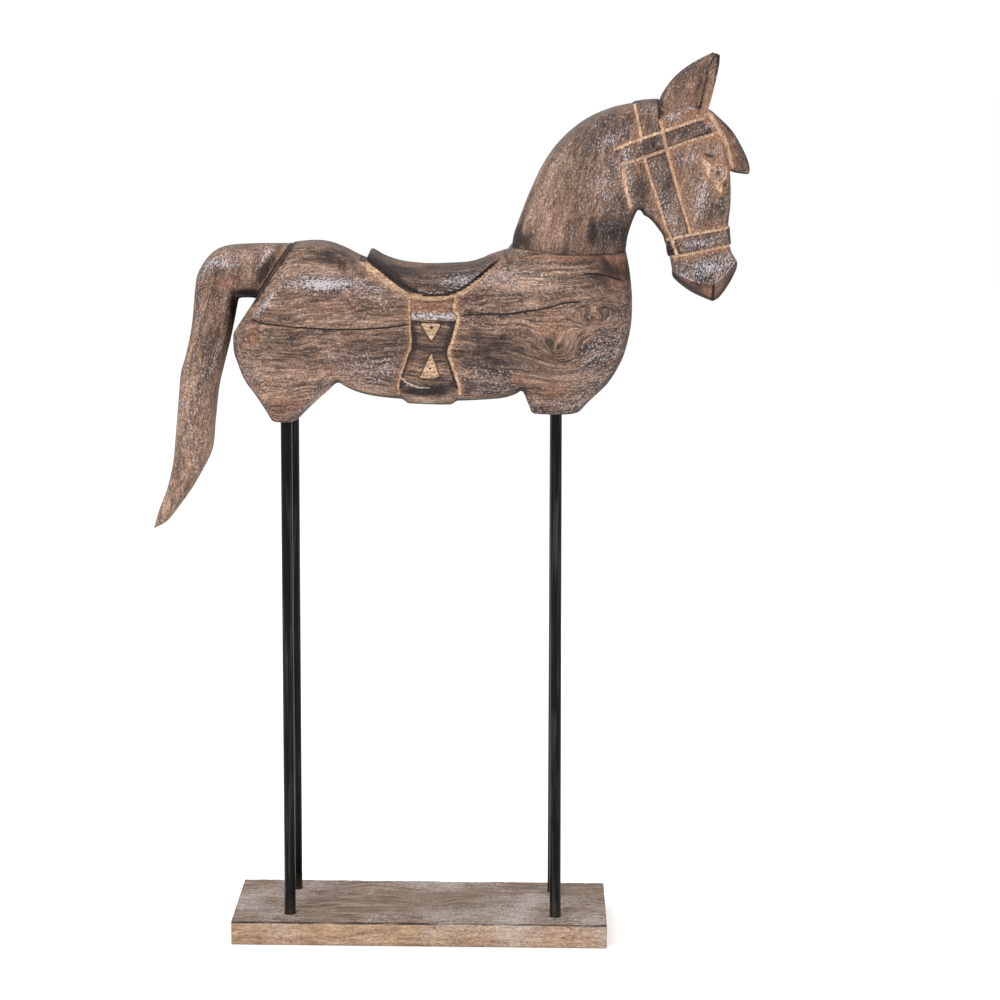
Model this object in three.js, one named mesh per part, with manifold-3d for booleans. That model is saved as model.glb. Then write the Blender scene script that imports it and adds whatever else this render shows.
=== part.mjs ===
// A carved wooden horse held over a low base block by four round steel bars.
// Millimetres, +Z up. The origin is the middle of the base's underside, and the horse faces +X.

import * as THREE from "three";
import { mergeVertices } from "three/addons/utils/BufferGeometryUtils.js";
import Module from "manifold-3d";

const wasm = await Module();
wasm.setup();

// Sizes of the horse
const HORSE_LENGTH = 662; // tip of the tail to the forelock
const HORSE_LIFT = 597; // ground to the soles of the hind stubs
const BODY_WIDTH = 136; // across the hips
const NECK_WIDTH = 100; // across the foot of the neck
const TAIL_WIDTH = 54; // across the root of the tail
const LEG_GAP = 44; // between a near and a far leg stub
const EAR_SPACING = 50; // between the middles of the ears
const EAR_THICKNESS = 16;
const FORELOCK_WIDTH = 34;
const SEAM_GAP = 0.3; // between pieces that are glued face to face

// Depths of the carving
const SADDLE_RISE = 5; // saddle above the flank
const STRAP_RISE = 1.8; // bridle straps above the head
const GIRTH_RISE = 4.5; // rolled lower edge of the girth under the belly
const PANEL_DEPTH = 2.5; // recessed girth panel
const GROOVE_DEPTH = 2.5;
const GROOVE_WIDTH = 4.5;
const TRIANGLE_DEPTH = 4.5; // triangles sunk in the girth panel
const EYE_RADIUS = 10;
const EYE_RISE = 1.2;

// Sizes of the stand
const ROD_DIAMETER = 12.7;
const NEAR_ROD_LEAN = 5; // foot of the near fore bar ahead of its head
const FAR_ROD_LEAN = 3;
const SOCKET_CLEARANCE = 0.3; // between a bar and the wall or the end of its socket
const BASE_SOCKET_DEPTH = 18;
const STUB_SOCKET_DEPTH = 60;
const BASE_HEIGHT = 28;
const BASE_BEHIND = 64.5; // axis of the hind bars to the end of the base
const BASE_AHEAD = 58.3; // foot of the fore bars to the other end
const BASE_SIDE = 29; // axis of a bar to the long edge of the base

// Places in the side view are written in thousandths of the horse's length, forward from the tip of
// the tail and up from the soles of the hind stubs.
const HIND_ROD_PLACE = 236;
const FORE_ROD_PLACE = 685.5;
const HIND_SOLE = 0;
const FORE_SOLE = 16;
const HIND_STUB_SPAN = [130, 336]; // from behind the hind stubs to ahead of them
const FORE_STUB_SPAN = [612, 830];
const HIND_GROIN = 62; // top of the arch between the stubs
const FORE_GROIN = 50;
const NECK_SEAM = 283;
const NECK_SPAN = [560, 840]; // from behind the neck's foot to ahead of it
const TAIL_SEAM = [[144, 139], [242, 290]]; // foot and top of the slanted glue face on the rump

const UNIT = HORSE_LENGTH / 1000;
const LEG_SPAN = (FORE_ROD_PLACE - HIND_ROD_PLACE) * UNIT; // between the heads of the bars
const BASE_LENGTH = BASE_BEHIND + LEG_SPAN + NEAR_ROD_LEAN + BASE_AHEAD;
const HIND_ROD_X = BASE_BEHIND - BASE_LENGTH / 2;
const FORE_ROD_X = HIND_ROD_X + LEG_SPAN; // at the head of the bar
const TAIL_TIP_X = HIND_ROD_X - HIND_ROD_PLACE * UNIT;
const ROD_Y = (LEG_GAP + BODY_WIDTH) / 4; // middle of a leg stub
const BASE_WIDTH = 2 * (ROD_Y + BASE_SIDE);
const BEYOND = HORSE_LENGTH; // cutters reach this far past what they cut

const sideX = (x) => TAIL_TIP_X + x * UNIT;
const sideZ = (z) => HORSE_LIFT + z * UNIT;

// Each row below is one cross-section of a piece, seen from the side:
// [x and z of its upper or outer edge, x and z of its lower or inner edge, half width in hundredths
// of the piece's own, roundness of the upper half, roundness of the lower half].
// A roundness of 2 is an ellipse, and a higher one is nearer to a rectangle.
const upright = (rows) => rows.map(([x, top, foot, ...shape]) => [x, top, x, foot, ...shape]);

const BODY_SECTIONS = upright([
  [146, 150, 122, 34, 3, 3],
  [149, 172, 107, 68, 3, 4],
  [156, 195, 92, 84, 3, 5],
  [168, 226, 65, 92, 3, 6],
  [186, 257, 38, 96, 3, 6],
  [204, 276, 11, 98, 3, 6],
  [218, 285, -10, 99, 3, 6],
  [234, 291, -16, 100, 3, 6],
  [246, 294, -9, 100, 3, 6],
  [258, 296, 4, 100, 3, 6],
  [283, 297, 29, 100, 3, 6],
  [305, 293, 48, 99, 3, 5.5],
  [321, 287, 61, 97, 3, 5],
  [336, 280, 53, 94, 3, 4.5],
  [356, 270, 44, 91, 3, 4.2],
  [385, 260, 37, 88, 3, 4],
  [425, 252, 33, 86, 3, 4],
  [478, 247, 31, 86, 3, 4],
  [530, 252, 31, 87, 3, 4],
  [575, 271, 34, 91, 3, 4.2],
  [600, 281, 38, 93, 3.4, 4.5],
  [617, 304, 44, 94, 4, 5],
  [629, 320, 50, 95, 4, 6],
  [639, 328, 28, 95, 4, 6],
  [651, 336, 8, 95, 4, 6],
  [690, 345, 2, 95, 4, 6],
  [718, 347, 12, 94, 4, 6],
  [740, 343, 34, 92, 4, 6],
  [771, 330, 64, 88, 4, 5.5],
  [791, 308, 96, 80, 4, 5],
  [803, 268, 126, 66, 3.4, 4],
  [809, 228, 154, 45, 3, 3.4],
  [811, 206, 180, 22, 3, 3],
]);

const SADDLE_SECTIONS = upright([
  [360, 262, 44, 91, 3, 4.2],
  [371, 281, 40, 91, 3, 4.2],
  [395, 270, 37, 88, 3, 4],
  [423, 261, 34, 86, 3, 4],
  [452, 257, 32, 86, 3, 4],
  [510, 257, 31, 86, 3, 4],
  [545, 261, 32, 87, 3, 4],
  [575, 270.5, 36, 88, 3, 4.2],
  [600, 281, 40, 90, 3.4, 4.5],
]);

const NECK_SECTIONS = [
  [608, 255, 798, 262, 100, 3.4, 3.4],
  [611, 300, 801, 300, 99, 3.4, 3.4],
  [619, 330, 807, 325, 96, 3.4, 3.4],
  [635, 371, 812, 339, 92, 3.4, 3.4],
  [659, 424, 815, 346, 88, 3.4, 3.4],
  [688, 464, 817, 349, 84, 3.4, 3.4],
  [723, 495, 819, 350.5, 80, 3.4, 3.4],
  [769, 517, 821, 350, 77, 3.4, 3.4],
  [810, 527, 824, 348, 74, 3.6, 3.4],
  [850, 531, 828, 342, 72, 4, 3.6],
  [893, 529, 835, 332, 70, 4.5, 4],
  [928, 519, 845, 325, 67, 5, 4.5],
  [947, 499, 853, 316, 65, 5, 5],
  [959, 464, 859, 308, 64, 5, 5],
  [968, 425, 864, 297, 62, 5, 5],
  [971, 395, 868, 287, 60, 5, 5],
  [971, 360, 871, 277, 57, 5, 5],
  [969, 325, 874, 265, 54, 5, 5],
  [974, 287, 877, 251, 51, 5, 5],
  [986, 262, 880, 237, 46, 5, 5],
  [979, 239, 905, 217.5, 36, 4, 4],
  [967, 218, 932, 203.5, 26, 4, 4],
  [957, 205, 945, 198.5, 17, 4, 4],
];

const EAR_SECTIONS = [
  [847, 505, 880, 488, 60, 2.4, 2.4],
  [852, 527, 919, 500, 90, 2.4, 2.4],
  [859, 544, 930, 520, 100, 2.4, 2.4],
  [876, 567, 937, 546, 90, 2.4, 2.4],
  [898, 586, 942, 568, 70, 2.4, 2.4],
  [922, 600, 946, 590, 46, 2.4, 2.4],
  [940, 609, 947, 606, 22, 2.4, 2.4],
];

const EAR_SCOOP_SECTIONS = [
  [900, 512, 950, 498, 30, 2, 2],
  [905, 532, 962, 512, 52, 2, 2],
  [913, 556, 968, 540, 48, 2, 2],
  [928, 582, 972, 568, 34, 2, 2],
  [941, 600, 970, 594, 18, 2, 2],
];

const FORELOCK_SECTIONS = [
  [900, 524, 895, 500, 90, 2.6, 2.6],
  [931, 518, 918, 488, 100, 2.6, 2.6],
  [952, 502, 932, 470, 100, 2.6, 2.6],
  [973, 481, 945, 448, 96, 2.6, 2.6],
  [988, 457, 955, 428, 88, 2.6, 2.6],
  [998, 437, 972, 415, 76, 2.6, 2.6],
  [1003, 422, 992, 411, 56, 2.6, 2.6],
  [1003, 414, 999, 410.5, 34, 2.6, 2.6],
];

const TAIL_SECTIONS = [
  [2, -192, 5, -192.5, 10, 3, 3],
  [12, -166, 26, -183, 28, 3, 3],
  [26, -128, 46, -161, 45, 3, 3],
  [36, -88, 67, -131, 56, 3, 3],
  [41, -54, 88, -95, 64, 3, 3],
  [45, -11, 105, -58, 70, 3, 3],
  [48, 30, 111, -10, 75, 3, 3],
  [53, 71, 117, 44, 80, 3, 3],
  [61, 98, 126, 85, 84, 3, 3],
  [70, 139, 137, 126, 90, 3, 3],
  [75, 176, 144, 160, 95, 3, 3],
  [79, 210, 150, 190, 98, 3, 3],
  [84, 238, 152, 196, 100, 3, 3],
  [97, 262, 155, 197.5, 100, 3, 3],
  [116, 279, 159, 198, 100, 3, 3],
  [142, 287, 163, 198, 100, 3, 3],
  [175, 289, 168, 198, 100, 3, 3],
  [210, 290, 175, 197.5, 100, 3, 3],
  [241, 290, 181, 196, 100, 3, 3],
  [262, 291, 193, 190, 100, 3, 3],
];

// Outlines and lines of the carving, in the side view
const SADDLE_EDGE = [
  [373, 268], [399, 241], [424, 228], [462, 216],
  [484, 215], [509, 218], [542, 235], [584, 269],
];
const SADDLE_GROOVE = [
  [386, 252], [418, 226], [437, 213], [484, 207],
  [513, 211], [532, 219], [569, 252], [582, 264],
];
const GIRTH_BACK = [[443, 214], [443, 187], [445, 129], [428, 77], [424, 60]];
const GIRTH_FRONT = [[518, 214], [516, 187], [519, 169], [505, 118], [521, 66], [523, 57]];
const GIRTH_PANEL_TOP = 172;
const GIRTH_PANEL_FOOT = 60;
const GIRTH_TRIANGLES = [[[460, 167], [494, 166], [478, 137]], [[478, 118], [457, 74], [492, 77]]];
const STRAPS = [
  [[808, 545], [812, 516], [818, 483], [821, 462], [858, 470], [855, 483], [851, 500], [851, 545]], // crown
  [[775, 451], [819, 470], [857, 483], [916, 500], [939, 482], [901, 468], [862, 453], [789, 430]], // brow
  [[824, 450], [838, 400], [849, 370], [863, 328], [872, 300], [908, 306], [889, 362], [859, 462]], // cheek
  [[860, 303], [905, 313], [973, 326], [995, 328], [995, 299], [971, 295], [932, 287], [860, 272]], // nose
];
const EYE_PLACE = [947, 414];
const MOUTH_SLIT = [[946, 190], [945, 226]];

const WOOD = new THREE.MeshStandardMaterial({ color: "#7a5a44", roughness: 0.75, metalness: 0 });
const BASE_WOOD = new THREE.MeshStandardMaterial({ color: "#b08e76", roughness: 0.8, metalness: 0 });
const STEEL = new THREE.MeshStandardMaterial({ color: "#222222", roughness: 0.45, metalness: 0.7 });

const RING_SIDES = 24;
const SOCKET_SIDES = 24;

// A closed three.js geometry as a solid that can be joined and cut
function solidOf(geometry) {
  const bare = geometry.clone();
  bare.deleteAttribute("normal");
  bare.deleteAttribute("uv");
  const merged = mergeVertices(bare, 1e-4);
  const vertProperties = merged.attributes.position.array;
  const triVerts = new Uint32Array(merged.index.array);
  return new wasm.Manifold(new wasm.Mesh({ numProp: 3, vertProperties, triVerts }));
}

function geometryOf(solid) {
  const { vertProperties, triVerts } = solid.getMesh();
  const geometry = new THREE.BufferGeometry();
  geometry.setAttribute("position", new THREE.BufferAttribute(vertProperties, 3));
  geometry.setIndex(new THREE.BufferAttribute(triVerts, 1));
  return geometry;
}

// Smooth rows between the given ones: a curve through every pair of columns
function smoothRows(rows, steps) {
  const columns = [[0, 1], [2, 3], [4, 5], [6, 6]].map(([first, second]) => {
    const points = rows.map((row) => new THREE.Vector3(row[first], row[second], 0));
    return new THREE.CatmullRomCurve3(points, false, "catmullrom", 0.5);
  });
  const count = (rows.length - 1) * steps;
  return Array.from({ length: count + 1 }, (_, i) => {
    const [outer, inner, shape, last] = columns.map((curve) => curve.getPoint(i / count));
    return [outer.x, outer.y, inner.x, inner.y, shape.x, shape.y, last.x];
  });
}

const power = (value, exponent) => Math.sign(value) * Math.abs(value) ** exponent;

// A closed solid through the rows. Every ring is a superellipse that spans from the inner to the
// outer edge. It can be swollen by some millimetres sideways, outward and inward.
function loft(rows, width, { side = 0, outward = 0, inward = 0, sides = RING_SIDES, steps = 1 } = {}) {
  const rings = smoothRows(rows, steps).map(([ox, oz, ix, iz, share, upper, lower]) => {
    const outer = new THREE.Vector3(sideX(ox), 0, sideZ(oz));
    const inner = new THREE.Vector3(sideX(ix), 0, sideZ(iz));
    const along = outer.clone().sub(inner).normalize();
    outer.addScaledVector(along, outward);
    inner.addScaledVector(along, -inward);
    const middle = outer.clone().add(inner).multiplyScalar(0.5);
    const half = outer.distanceTo(inner) / 2;
    const halfWidth = (width * share) / 200 + side;
    const ring = Array.from({ length: sides }, (_, j) => {
      const angle = (2 * Math.PI * j) / sides;
      const exponent = 2 / (Math.sin(angle) >= 0 ? upper : lower);
      const point = middle.clone().addScaledVector(along, half * power(Math.sin(angle), exponent));
      point.y = halfWidth * power(Math.cos(angle), exponent);
      return point;
    });
    return { middle, ring };
  });

  const first = rings[0];
  const last = rings[rings.length - 1];
  const vertices = rings.flatMap(({ ring }) => ring).concat(first.middle, last.middle);
  const firstMiddle = vertices.length - 2;
  const lastRing = (rings.length - 1) * sides;
  const faces = [];
  for (let j = 0; j < sides; j += 1) {
    const next = (j + 1) % sides;
    for (let start = 0; start < lastRing; start += sides) {
      faces.push(start + j, start + next, start + sides + next);
      faces.push(start + j, start + sides + next, start + sides + j);
    }
    faces.push(firstMiddle, next, j);
    faces.push(firstMiddle + 1, lastRing + j, lastRing + next);
  }
  const geometry = new THREE.BufferGeometry().setFromPoints(vertices);
  geometry.setIndex(faces);
  return solidOf(geometry);
}

// A closed outline in the side view, carried through the whole width of the horse
function throughCut(outline) {
  const shape = new THREE.Shape(outline.map(([x, z]) => new THREE.Vector2(sideX(x), sideZ(z))));
  const geometry = new THREE.ExtrudeGeometry(shape, { depth: 2 * BEYOND, bevelEnabled: false });
  return solidOf(geometry.rotateX(Math.PI / 2).translate(0, BEYOND, 0));
}

function smoothLine(points, count = 12) {
  const curve = new THREE.SplineCurve(points.map(([x, z]) => new THREE.Vector2(x, z)));
  return curve.getPoints(count).map((point) => [point.x, point.y]);
}

// The outline of a line drawn with a round-nosed gouge of the given width
function stroke(line, width) {
  const reach = width / 2 / UNIT;
  const edge = (side) => line.map(([x, z], i) => {
    const [ax, az] = line[Math.max(i - 1, 0)];
    const [bx, bz] = line[Math.min(i + 1, line.length - 1)];
    const length = Math.hypot(bx - ax, bz - az);
    return [x - (side * reach * (bz - az)) / length, z + (side * reach * (bx - ax)) / length];
  });
  return [...edge(1), ...edge(-1).reverse()];
}

// A bar of a leg, or with room around it the tool that drills its sockets
function legBar({ headX, lean, sole, y }, room) {
  const slope = lean / (sole - BASE_HEIGHT);
  const foot = BASE_HEIGHT - BASE_SOCKET_DEPTH + SOCKET_CLEARANCE - room;
  const head = sole + STUB_SOCKET_DEPTH - SOCKET_CLEARANCE + room;
  const start = new THREE.Vector3(headX + slope * (sole - foot), y, foot);
  const end = new THREE.Vector3(headX + slope * (sole - head), y, head);
  const along = end.clone().sub(start);
  const radius = ROD_DIAMETER / 2 + room;
  const geometry = new THREE.CylinderGeometry(radius, radius, along.length(), SOCKET_SIDES);
  const turn = new THREE.Quaternion().setFromUnitVectors(new THREE.Vector3(0, 1, 0), along.normalize());
  return geometry.applyQuaternion(turn).translate(...start.add(end).multiplyScalar(0.5).toArray());
}

const LEGS = [
  { name: "rod_hind_near", headX: HIND_ROD_X, lean: 0, sole: sideZ(HIND_SOLE), y: -ROD_Y },
  { name: "rod_hind_far", headX: HIND_ROD_X, lean: 0, sole: sideZ(HIND_SOLE), y: ROD_Y },
  { name: "rod_fore_near", headX: FORE_ROD_X, lean: NEAR_ROD_LEAN, sole: sideZ(FORE_SOLE), y: -ROD_Y },
  { name: "rod_fore_far", headX: FORE_ROD_X, lean: FAR_ROD_LEAN, sole: sideZ(FORE_SOLE), y: ROD_Y },
];

function drillSockets(solid) {
  return LEGS.reduce((cut, leg) => cut.subtract(solidOf(legBar(leg, SOCKET_CLEARANCE))), solid);
}

// Everything behind (-1) or ahead (1) of the slanted glue face, moved forward by some millimetres
function besideTailSeam(direction, shift) {
  const [[lowX, lowZ], [highX, highZ]] = TAIL_SEAM;
  const low = [lowX + shift / UNIT, lowZ];
  const high = [low[0] + 2 * (highX - lowX), lowZ + 2 * (highZ - lowZ)];
  const far = low[0] + direction * BEYOND;
  return throughCut([low, high, [far, high[1]], [far, lowZ]]);
}

// The arch between a near and a far leg, from below up to the height of the groin
function legArch([fromX, toX], groin) {
  const half = LEG_GAP / 2;
  const top = sideZ(groin);
  const foot = sideZ(HIND_SOLE) - half;
  const shape = new THREE.Shape();
  shape.moveTo(-half, foot);
  shape.lineTo(half, foot);
  shape.lineTo(half, top - half);
  shape.absarc(0, top - half, half, 0, Math.PI);
  const depth = (toX - fromX) * UNIT;
  const geometry = new THREE.ExtrudeGeometry(shape, { depth, bevelEnabled: false, curveSegments: 8 });
  const basis = new THREE.Matrix4().makeBasis(
    new THREE.Vector3(0, 1, 0),
    new THREE.Vector3(0, 0, 1),
    new THREE.Vector3(1, 0, 0),
  );
  return solidOf(geometry.applyMatrix4(basis).translate(sideX(fromX), 0, 0));
}

// Everything between one level and another within a span of the side view
function levelCut([fromX, toX], z, otherZ) {
  return throughCut([[fromX, z], [fromX, otherZ], [toX, otherZ], [toX, z]]);
}

// Sinks an outline into both sides of a lofted piece, to an even depth
function carve(solid, outline, rows, width, depth) {
  const core = loft(rows, width, { side: -depth, inward: -depth });
  return solid.subtract(throughCut(outline).subtract(core));
}

// Leaves an outline standing proud of a lofted piece
function raise(solid, outline, rows, width, rise) {
  return solid.add(throughCut(outline).intersect(loft(rows, width, rise)));
}

function makeBody() {
  let body = loft(BODY_SECTIONS, BODY_WIDTH);
  const saddle = [...smoothLine(SADDLE_EDGE), [600, 290], [600, 320], [366, 320], [366, 275]];
  body = raise(body, saddle, SADDLE_SECTIONS, BODY_WIDTH, { side: SADDLE_RISE });
  const roll = [[424, 60], [523, 57], [521, -40], [426, -40]];
  body = raise(body, roll, BODY_SECTIONS, BODY_WIDTH, { side: STRAP_RISE, inward: GIRTH_RISE });

  const groove = stroke(smoothLine(SADDLE_GROOVE), GROOVE_WIDTH);
  body = carve(body, groove, BODY_SECTIONS, BODY_WIDTH, GROOVE_DEPTH);
  const within = (line) => line.filter(([, z]) => z < GIRTH_PANEL_TOP);
  const panel = [[444, GIRTH_PANEL_TOP], ...within(GIRTH_BACK), ...within(GIRTH_FRONT).reverse()];
  body = carve(body, panel, BODY_SECTIONS, BODY_WIDTH, PANEL_DEPTH);
  for (const edge of [GIRTH_BACK, GIRTH_FRONT]) {
    body = carve(body, stroke(edge, GROOVE_WIDTH), BODY_SECTIONS, BODY_WIDTH, GROOVE_DEPTH + 1);
  }
  for (const triangle of GIRTH_TRIANGLES) {
    body = carve(body, triangle, BODY_SECTIONS, BODY_WIDTH, TRIANGLE_DEPTH);
  }

  body = body.subtract(legArch(HIND_STUB_SPAN, HIND_GROIN)).subtract(legArch(FORE_STUB_SPAN, FORE_GROIN));
  body = body.subtract(levelCut(HIND_STUB_SPAN, HIND_SOLE, -BEYOND));
  body = body.subtract(levelCut(FORE_STUB_SPAN, FORE_SOLE, -BEYOND));
  body = body.subtract(levelCut(NECK_SPAN, NECK_SEAM, BEYOND));
  return drillSockets(body.subtract(besideTailSeam(-1, SEAM_GAP)));
}

function makeNeckAndHead() {
  const rows = NECK_SECTIONS;
  let head = loft(rows, NECK_WIDTH);
  for (const strap of STRAPS) {
    head = raise(head, strap, rows, NECK_WIDTH, { side: STRAP_RISE, outward: STRAP_RISE });
  }
  for (const side of [-1, 1]) {
    const place = [0, (side * EAR_SPACING) / 2, 0];
    const ear = loft(EAR_SECTIONS, EAR_THICKNESS, { sides: 12 });
    const scoop = loft(EAR_SCOOP_SECTIONS, EAR_THICKNESS, { sides: 10 });
    head = head.add(ear.subtract(scoop).translate(place));
  }
  head = head.add(loft(FORELOCK_SECTIONS, FORELOCK_WIDTH, { sides: 16 }));

  const eye = Array.from({ length: 16 }, (_, i) => {
    const angle = (2 * Math.PI * i) / 16;
    const [x, z] = EYE_PLACE;
    return [x + (EYE_RADIUS * Math.cos(angle)) / UNIT, z + (EYE_RADIUS * Math.sin(angle)) / UNIT];
  });
  head = raise(head, eye, rows, NECK_WIDTH, { side: EYE_RISE });
  head = carve(head, stroke(MOUTH_SLIT, GROOVE_WIDTH / 2), rows, NECK_WIDTH, GROOVE_DEPTH);
  return head.subtract(levelCut(NECK_SPAN, NECK_SEAM + SEAM_GAP / UNIT, -BEYOND));
}

function makeTail() {
  return loft(TAIL_SECTIONS, TAIL_WIDTH, { sides: 16 }).subtract(besideTailSeam(1, 0));
}

function makeBase() {
  const block = new THREE.BoxGeometry(BASE_LENGTH, BASE_WIDTH, BASE_HEIGHT);
  return drillSockets(solidOf(block.translate(0, 0, BASE_HEIGHT / 2)));
}

function piece(name, geometry, material) {
  const mesh = new THREE.Mesh(geometry, material);
  mesh.name = name;
  return mesh;
}

const horse = new THREE.Group();
horse.add(piece("base", geometryOf(makeBase()), BASE_WOOD));
for (const leg of LEGS) {
  horse.add(piece(leg.name, legBar(leg, 0), STEEL));
}
horse.add(piece("body", geometryOf(makeBody()), WOOD));
horse.add(piece("neck_and_head", geometryOf(makeNeckAndHead()), WOOD));
horse.add(piece("tail", geometryOf(makeTail()), WOOD));

export default horse;
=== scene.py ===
"""A carved and whitewashed wooden horse on four black steel bars over a low wooden block."""

import math

import bpy
import numpy as np
from mathutils import Matrix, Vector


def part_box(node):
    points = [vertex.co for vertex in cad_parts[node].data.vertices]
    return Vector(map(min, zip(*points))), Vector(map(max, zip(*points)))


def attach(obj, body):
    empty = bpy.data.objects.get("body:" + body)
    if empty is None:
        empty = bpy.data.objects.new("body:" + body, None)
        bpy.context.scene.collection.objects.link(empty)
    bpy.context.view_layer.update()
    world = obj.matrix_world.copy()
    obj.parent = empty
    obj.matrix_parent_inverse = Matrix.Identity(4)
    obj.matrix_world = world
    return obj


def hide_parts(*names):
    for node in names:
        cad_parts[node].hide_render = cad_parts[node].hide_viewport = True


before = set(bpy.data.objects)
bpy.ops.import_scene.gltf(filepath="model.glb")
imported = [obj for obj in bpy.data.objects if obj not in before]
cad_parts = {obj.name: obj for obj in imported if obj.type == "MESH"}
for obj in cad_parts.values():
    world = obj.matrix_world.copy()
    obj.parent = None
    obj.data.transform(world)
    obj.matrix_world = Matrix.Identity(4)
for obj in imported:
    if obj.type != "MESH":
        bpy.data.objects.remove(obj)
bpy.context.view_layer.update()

# BASE BLOCK
# A sawn hardwood board, 28 mm thick, that everything stands on. It was limewashed and rubbed back,
# so its top is greyer than its bare, sanded front edge. Four blind holes take the bars.

BASE_EDGE = 1.1e-3  # radius that wear has given the edges
BASE_CHIP = 0.9e-3  # depth of the knocks along the upper edges
BASE_SAG = 0.25e-3  # how far the top lies below true, give or take as much again
BASE_SAW_LINE = 1.6e-3  # top to the dirty line that parts its whitewash from the bare front
BASE_CHALK_LINE = 2.8e-3  # top to the row of white chips below that line
SOCKET_RADIUS = 6.65e-3
SOCKET_ROOM = 0.3e-3  # end of a bar to the end of its socket
BASE_DRILL = 0.03  # reach of the drill above the end of a bar, well past the top
BAR_END = 3e-3  # what lies this near to the end of a bar in the frame belongs to that end
BAR_SIDES = 64


def linear(code):
    """sRGB hex to linear light: below 0.04045 a straight line, above it a power of 2.4."""
    parts = [int(code[i : i + 2], 16) / 255 for i in (1, 3, 5)]
    light = [p / 12.92 if p <= 0.04045 else ((p + 0.055) / 1.055) ** 2.4 for p in parts]
    return (*light, 1.0)


def add(tree, kind, feeds=None, stops=None, out=0, **settings):
    """Adds a shader node and gives back one of its outputs.

    Feeds are numbers, colours or sockets by the name or place of the input they go to. Stops are
    the places and colours of a ramp.
    """
    made = tree.nodes.new("ShaderNode" + kind)
    for name, value in settings.items():
        setattr(made, name, value)
    for place, value in (feeds or {}).items():
        if isinstance(value, bpy.types.NodeSocket):
            tree.links.new(value, made.inputs[place])
        else:
            made.inputs[place].default_value = value
    for i, (position, colour) in enumerate(stops or []):
        steps = made.color_ramp.elements
        stop = steps[i] if i < 2 else steps.new(position)
        stop.position = position
        stop.color = linear(colour)
    return made.outputs[out] if made.outputs else made


def blank(name):
    """A new material, and its node tree with nothing in it."""
    made = bpy.data.materials.new(name)
    made.use_nodes = True
    made.node_tree.nodes.clear()
    return made, made.node_tree


def maths(tree, operation, *feeds):
    """Works out numbers. MULTIPLY_ADD is the first times the second, plus the third."""
    return add(tree, "Math", dict(enumerate(feeds)), operation=operation)


def ranged(tree, value, low, high, start=0.0, end=1.0, **settings):
    """Maps low to start and high to end, and holds those beyond."""
    feeds = {0: value, 1: low, 2: high, 3: start, 4: end}
    return add(tree, "MapRange", feeds, **settings)


def covered(tree, amount, under, over):
    """Lays one colour over another by an amount from 0 to 1."""
    return add(tree, "Mix", {0: amount, 6: under, 7: over}, data_type="RGBA", out=2)


def surfaced(tree, colour, roughness, bump, index, gleam):
    """Ends a material in a surface with its refractive index and its share of mirrored light."""
    feeds = {"Base Color": colour, "Roughness": roughness, "Normal": bump, "IOR": index}
    surface = add(tree, "BsdfPrincipled", feeds | {"Specular IOR Level": gleam})
    add(tree, "OutputMaterial", {"Surface": surface})


def step(value, low, high):
    """Cubic ramp: 0 below low, 1 above high, and 3t^2 - 2t^3 between them."""
    t = np.clip((value - low) / (high - low), 0, 1)
    return t * t * (3 - 2 * t)


def fall(value, low, high):
    """The same ramp going down: 1 below low and 0 above high."""
    return step(-value, -high, -low)


def unevenness(points, wavelength, seed):
    """Smooth chance relief, about -1 to 1: the sum of 20 sine waves in chance directions."""
    chance = np.random.default_rng(seed)
    total = np.zeros(points.shape[:-1])
    for _ in range(20):
        way = chance.normal(size=3)
        way *= 2 * math.pi / (wavelength * np.linalg.norm(way) * chance.uniform(0.7, 1.5))
        total += np.sin(points @ way + chance.uniform(0, 2 * math.pi))
    return total / 6


def skin(name, grid, paint, material):
    """A closed mesh from rings of points: four-sided faces between rings and a fan on either end.

    Paint gives a number to every point of the grid under a name that the material reads.
    """
    rings, sides = grid.shape[:2]
    ends = np.stack([grid[0].mean(0), grid[-1].mean(0)])
    points = np.vstack([grid.reshape(-1, 3), ends])
    here = np.arange(rings * sides).reshape(rings, sides)
    beside = np.roll(here, -1, axis=1)
    quads = np.stack([here[:-1], beside[:-1], beside[1:], here[1:]], axis=-1).reshape(-1, 4)
    first, last = rings * sides, rings * sides + 1
    fans = np.vstack(
        [
            np.stack([np.full(sides, first), beside[0], here[0]], axis=-1),
            np.stack([np.full(sides, last), here[-1], beside[-1]], axis=-1),
        ]
    )
    mesh = bpy.data.meshes.new(name)
    mesh.vertices.add(len(points))
    mesh.vertices.foreach_set("co", points.ravel())
    mesh.loops.add(quads.size + fans.size)
    mesh.loops.foreach_set("vertex_index", np.concatenate([quads.ravel(), fans.ravel()]))
    mesh.polygons.add(len(quads) + len(fans))
    starts = np.concatenate([np.arange(len(quads)) * 4, quads.size + np.arange(len(fans)) * 3])
    mesh.polygons.foreach_set("loop_start", starts)
    mesh.update(calc_edges=True)
    mesh.validate()
    for key, values in paint.items():
        whole = np.concatenate([values.ravel(), [values[0].mean(), values[-1].mean()]])
        mesh.attributes.new(key, "FLOAT", "POINT").data.foreach_set("value", whole)
    mesh.shade_smooth()
    mesh.materials.append(material)
    made = bpy.data.objects.new(name, mesh)
    bpy.context.scene.collection.objects.link(made)
    return made


def combined(made, others, operation):
    """Joins solids to a piece or cuts them from it, bakes that, and takes the used solids away."""
    for other in others:
        cut = made.modifiers.new(operation, "BOOLEAN")
        cut.operation = operation
        cut.object = other
        cut.solver = "MANIFOLD"
    seen = made.evaluated_get(bpy.context.evaluated_depsgraph_get())
    mesh = bpy.data.meshes.new_from_object(seen)
    mesh.name = made.data.name
    made.modifiers.clear()
    made.data = mesh
    for other in others:
        bpy.data.objects.remove(other)
    return made


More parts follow.
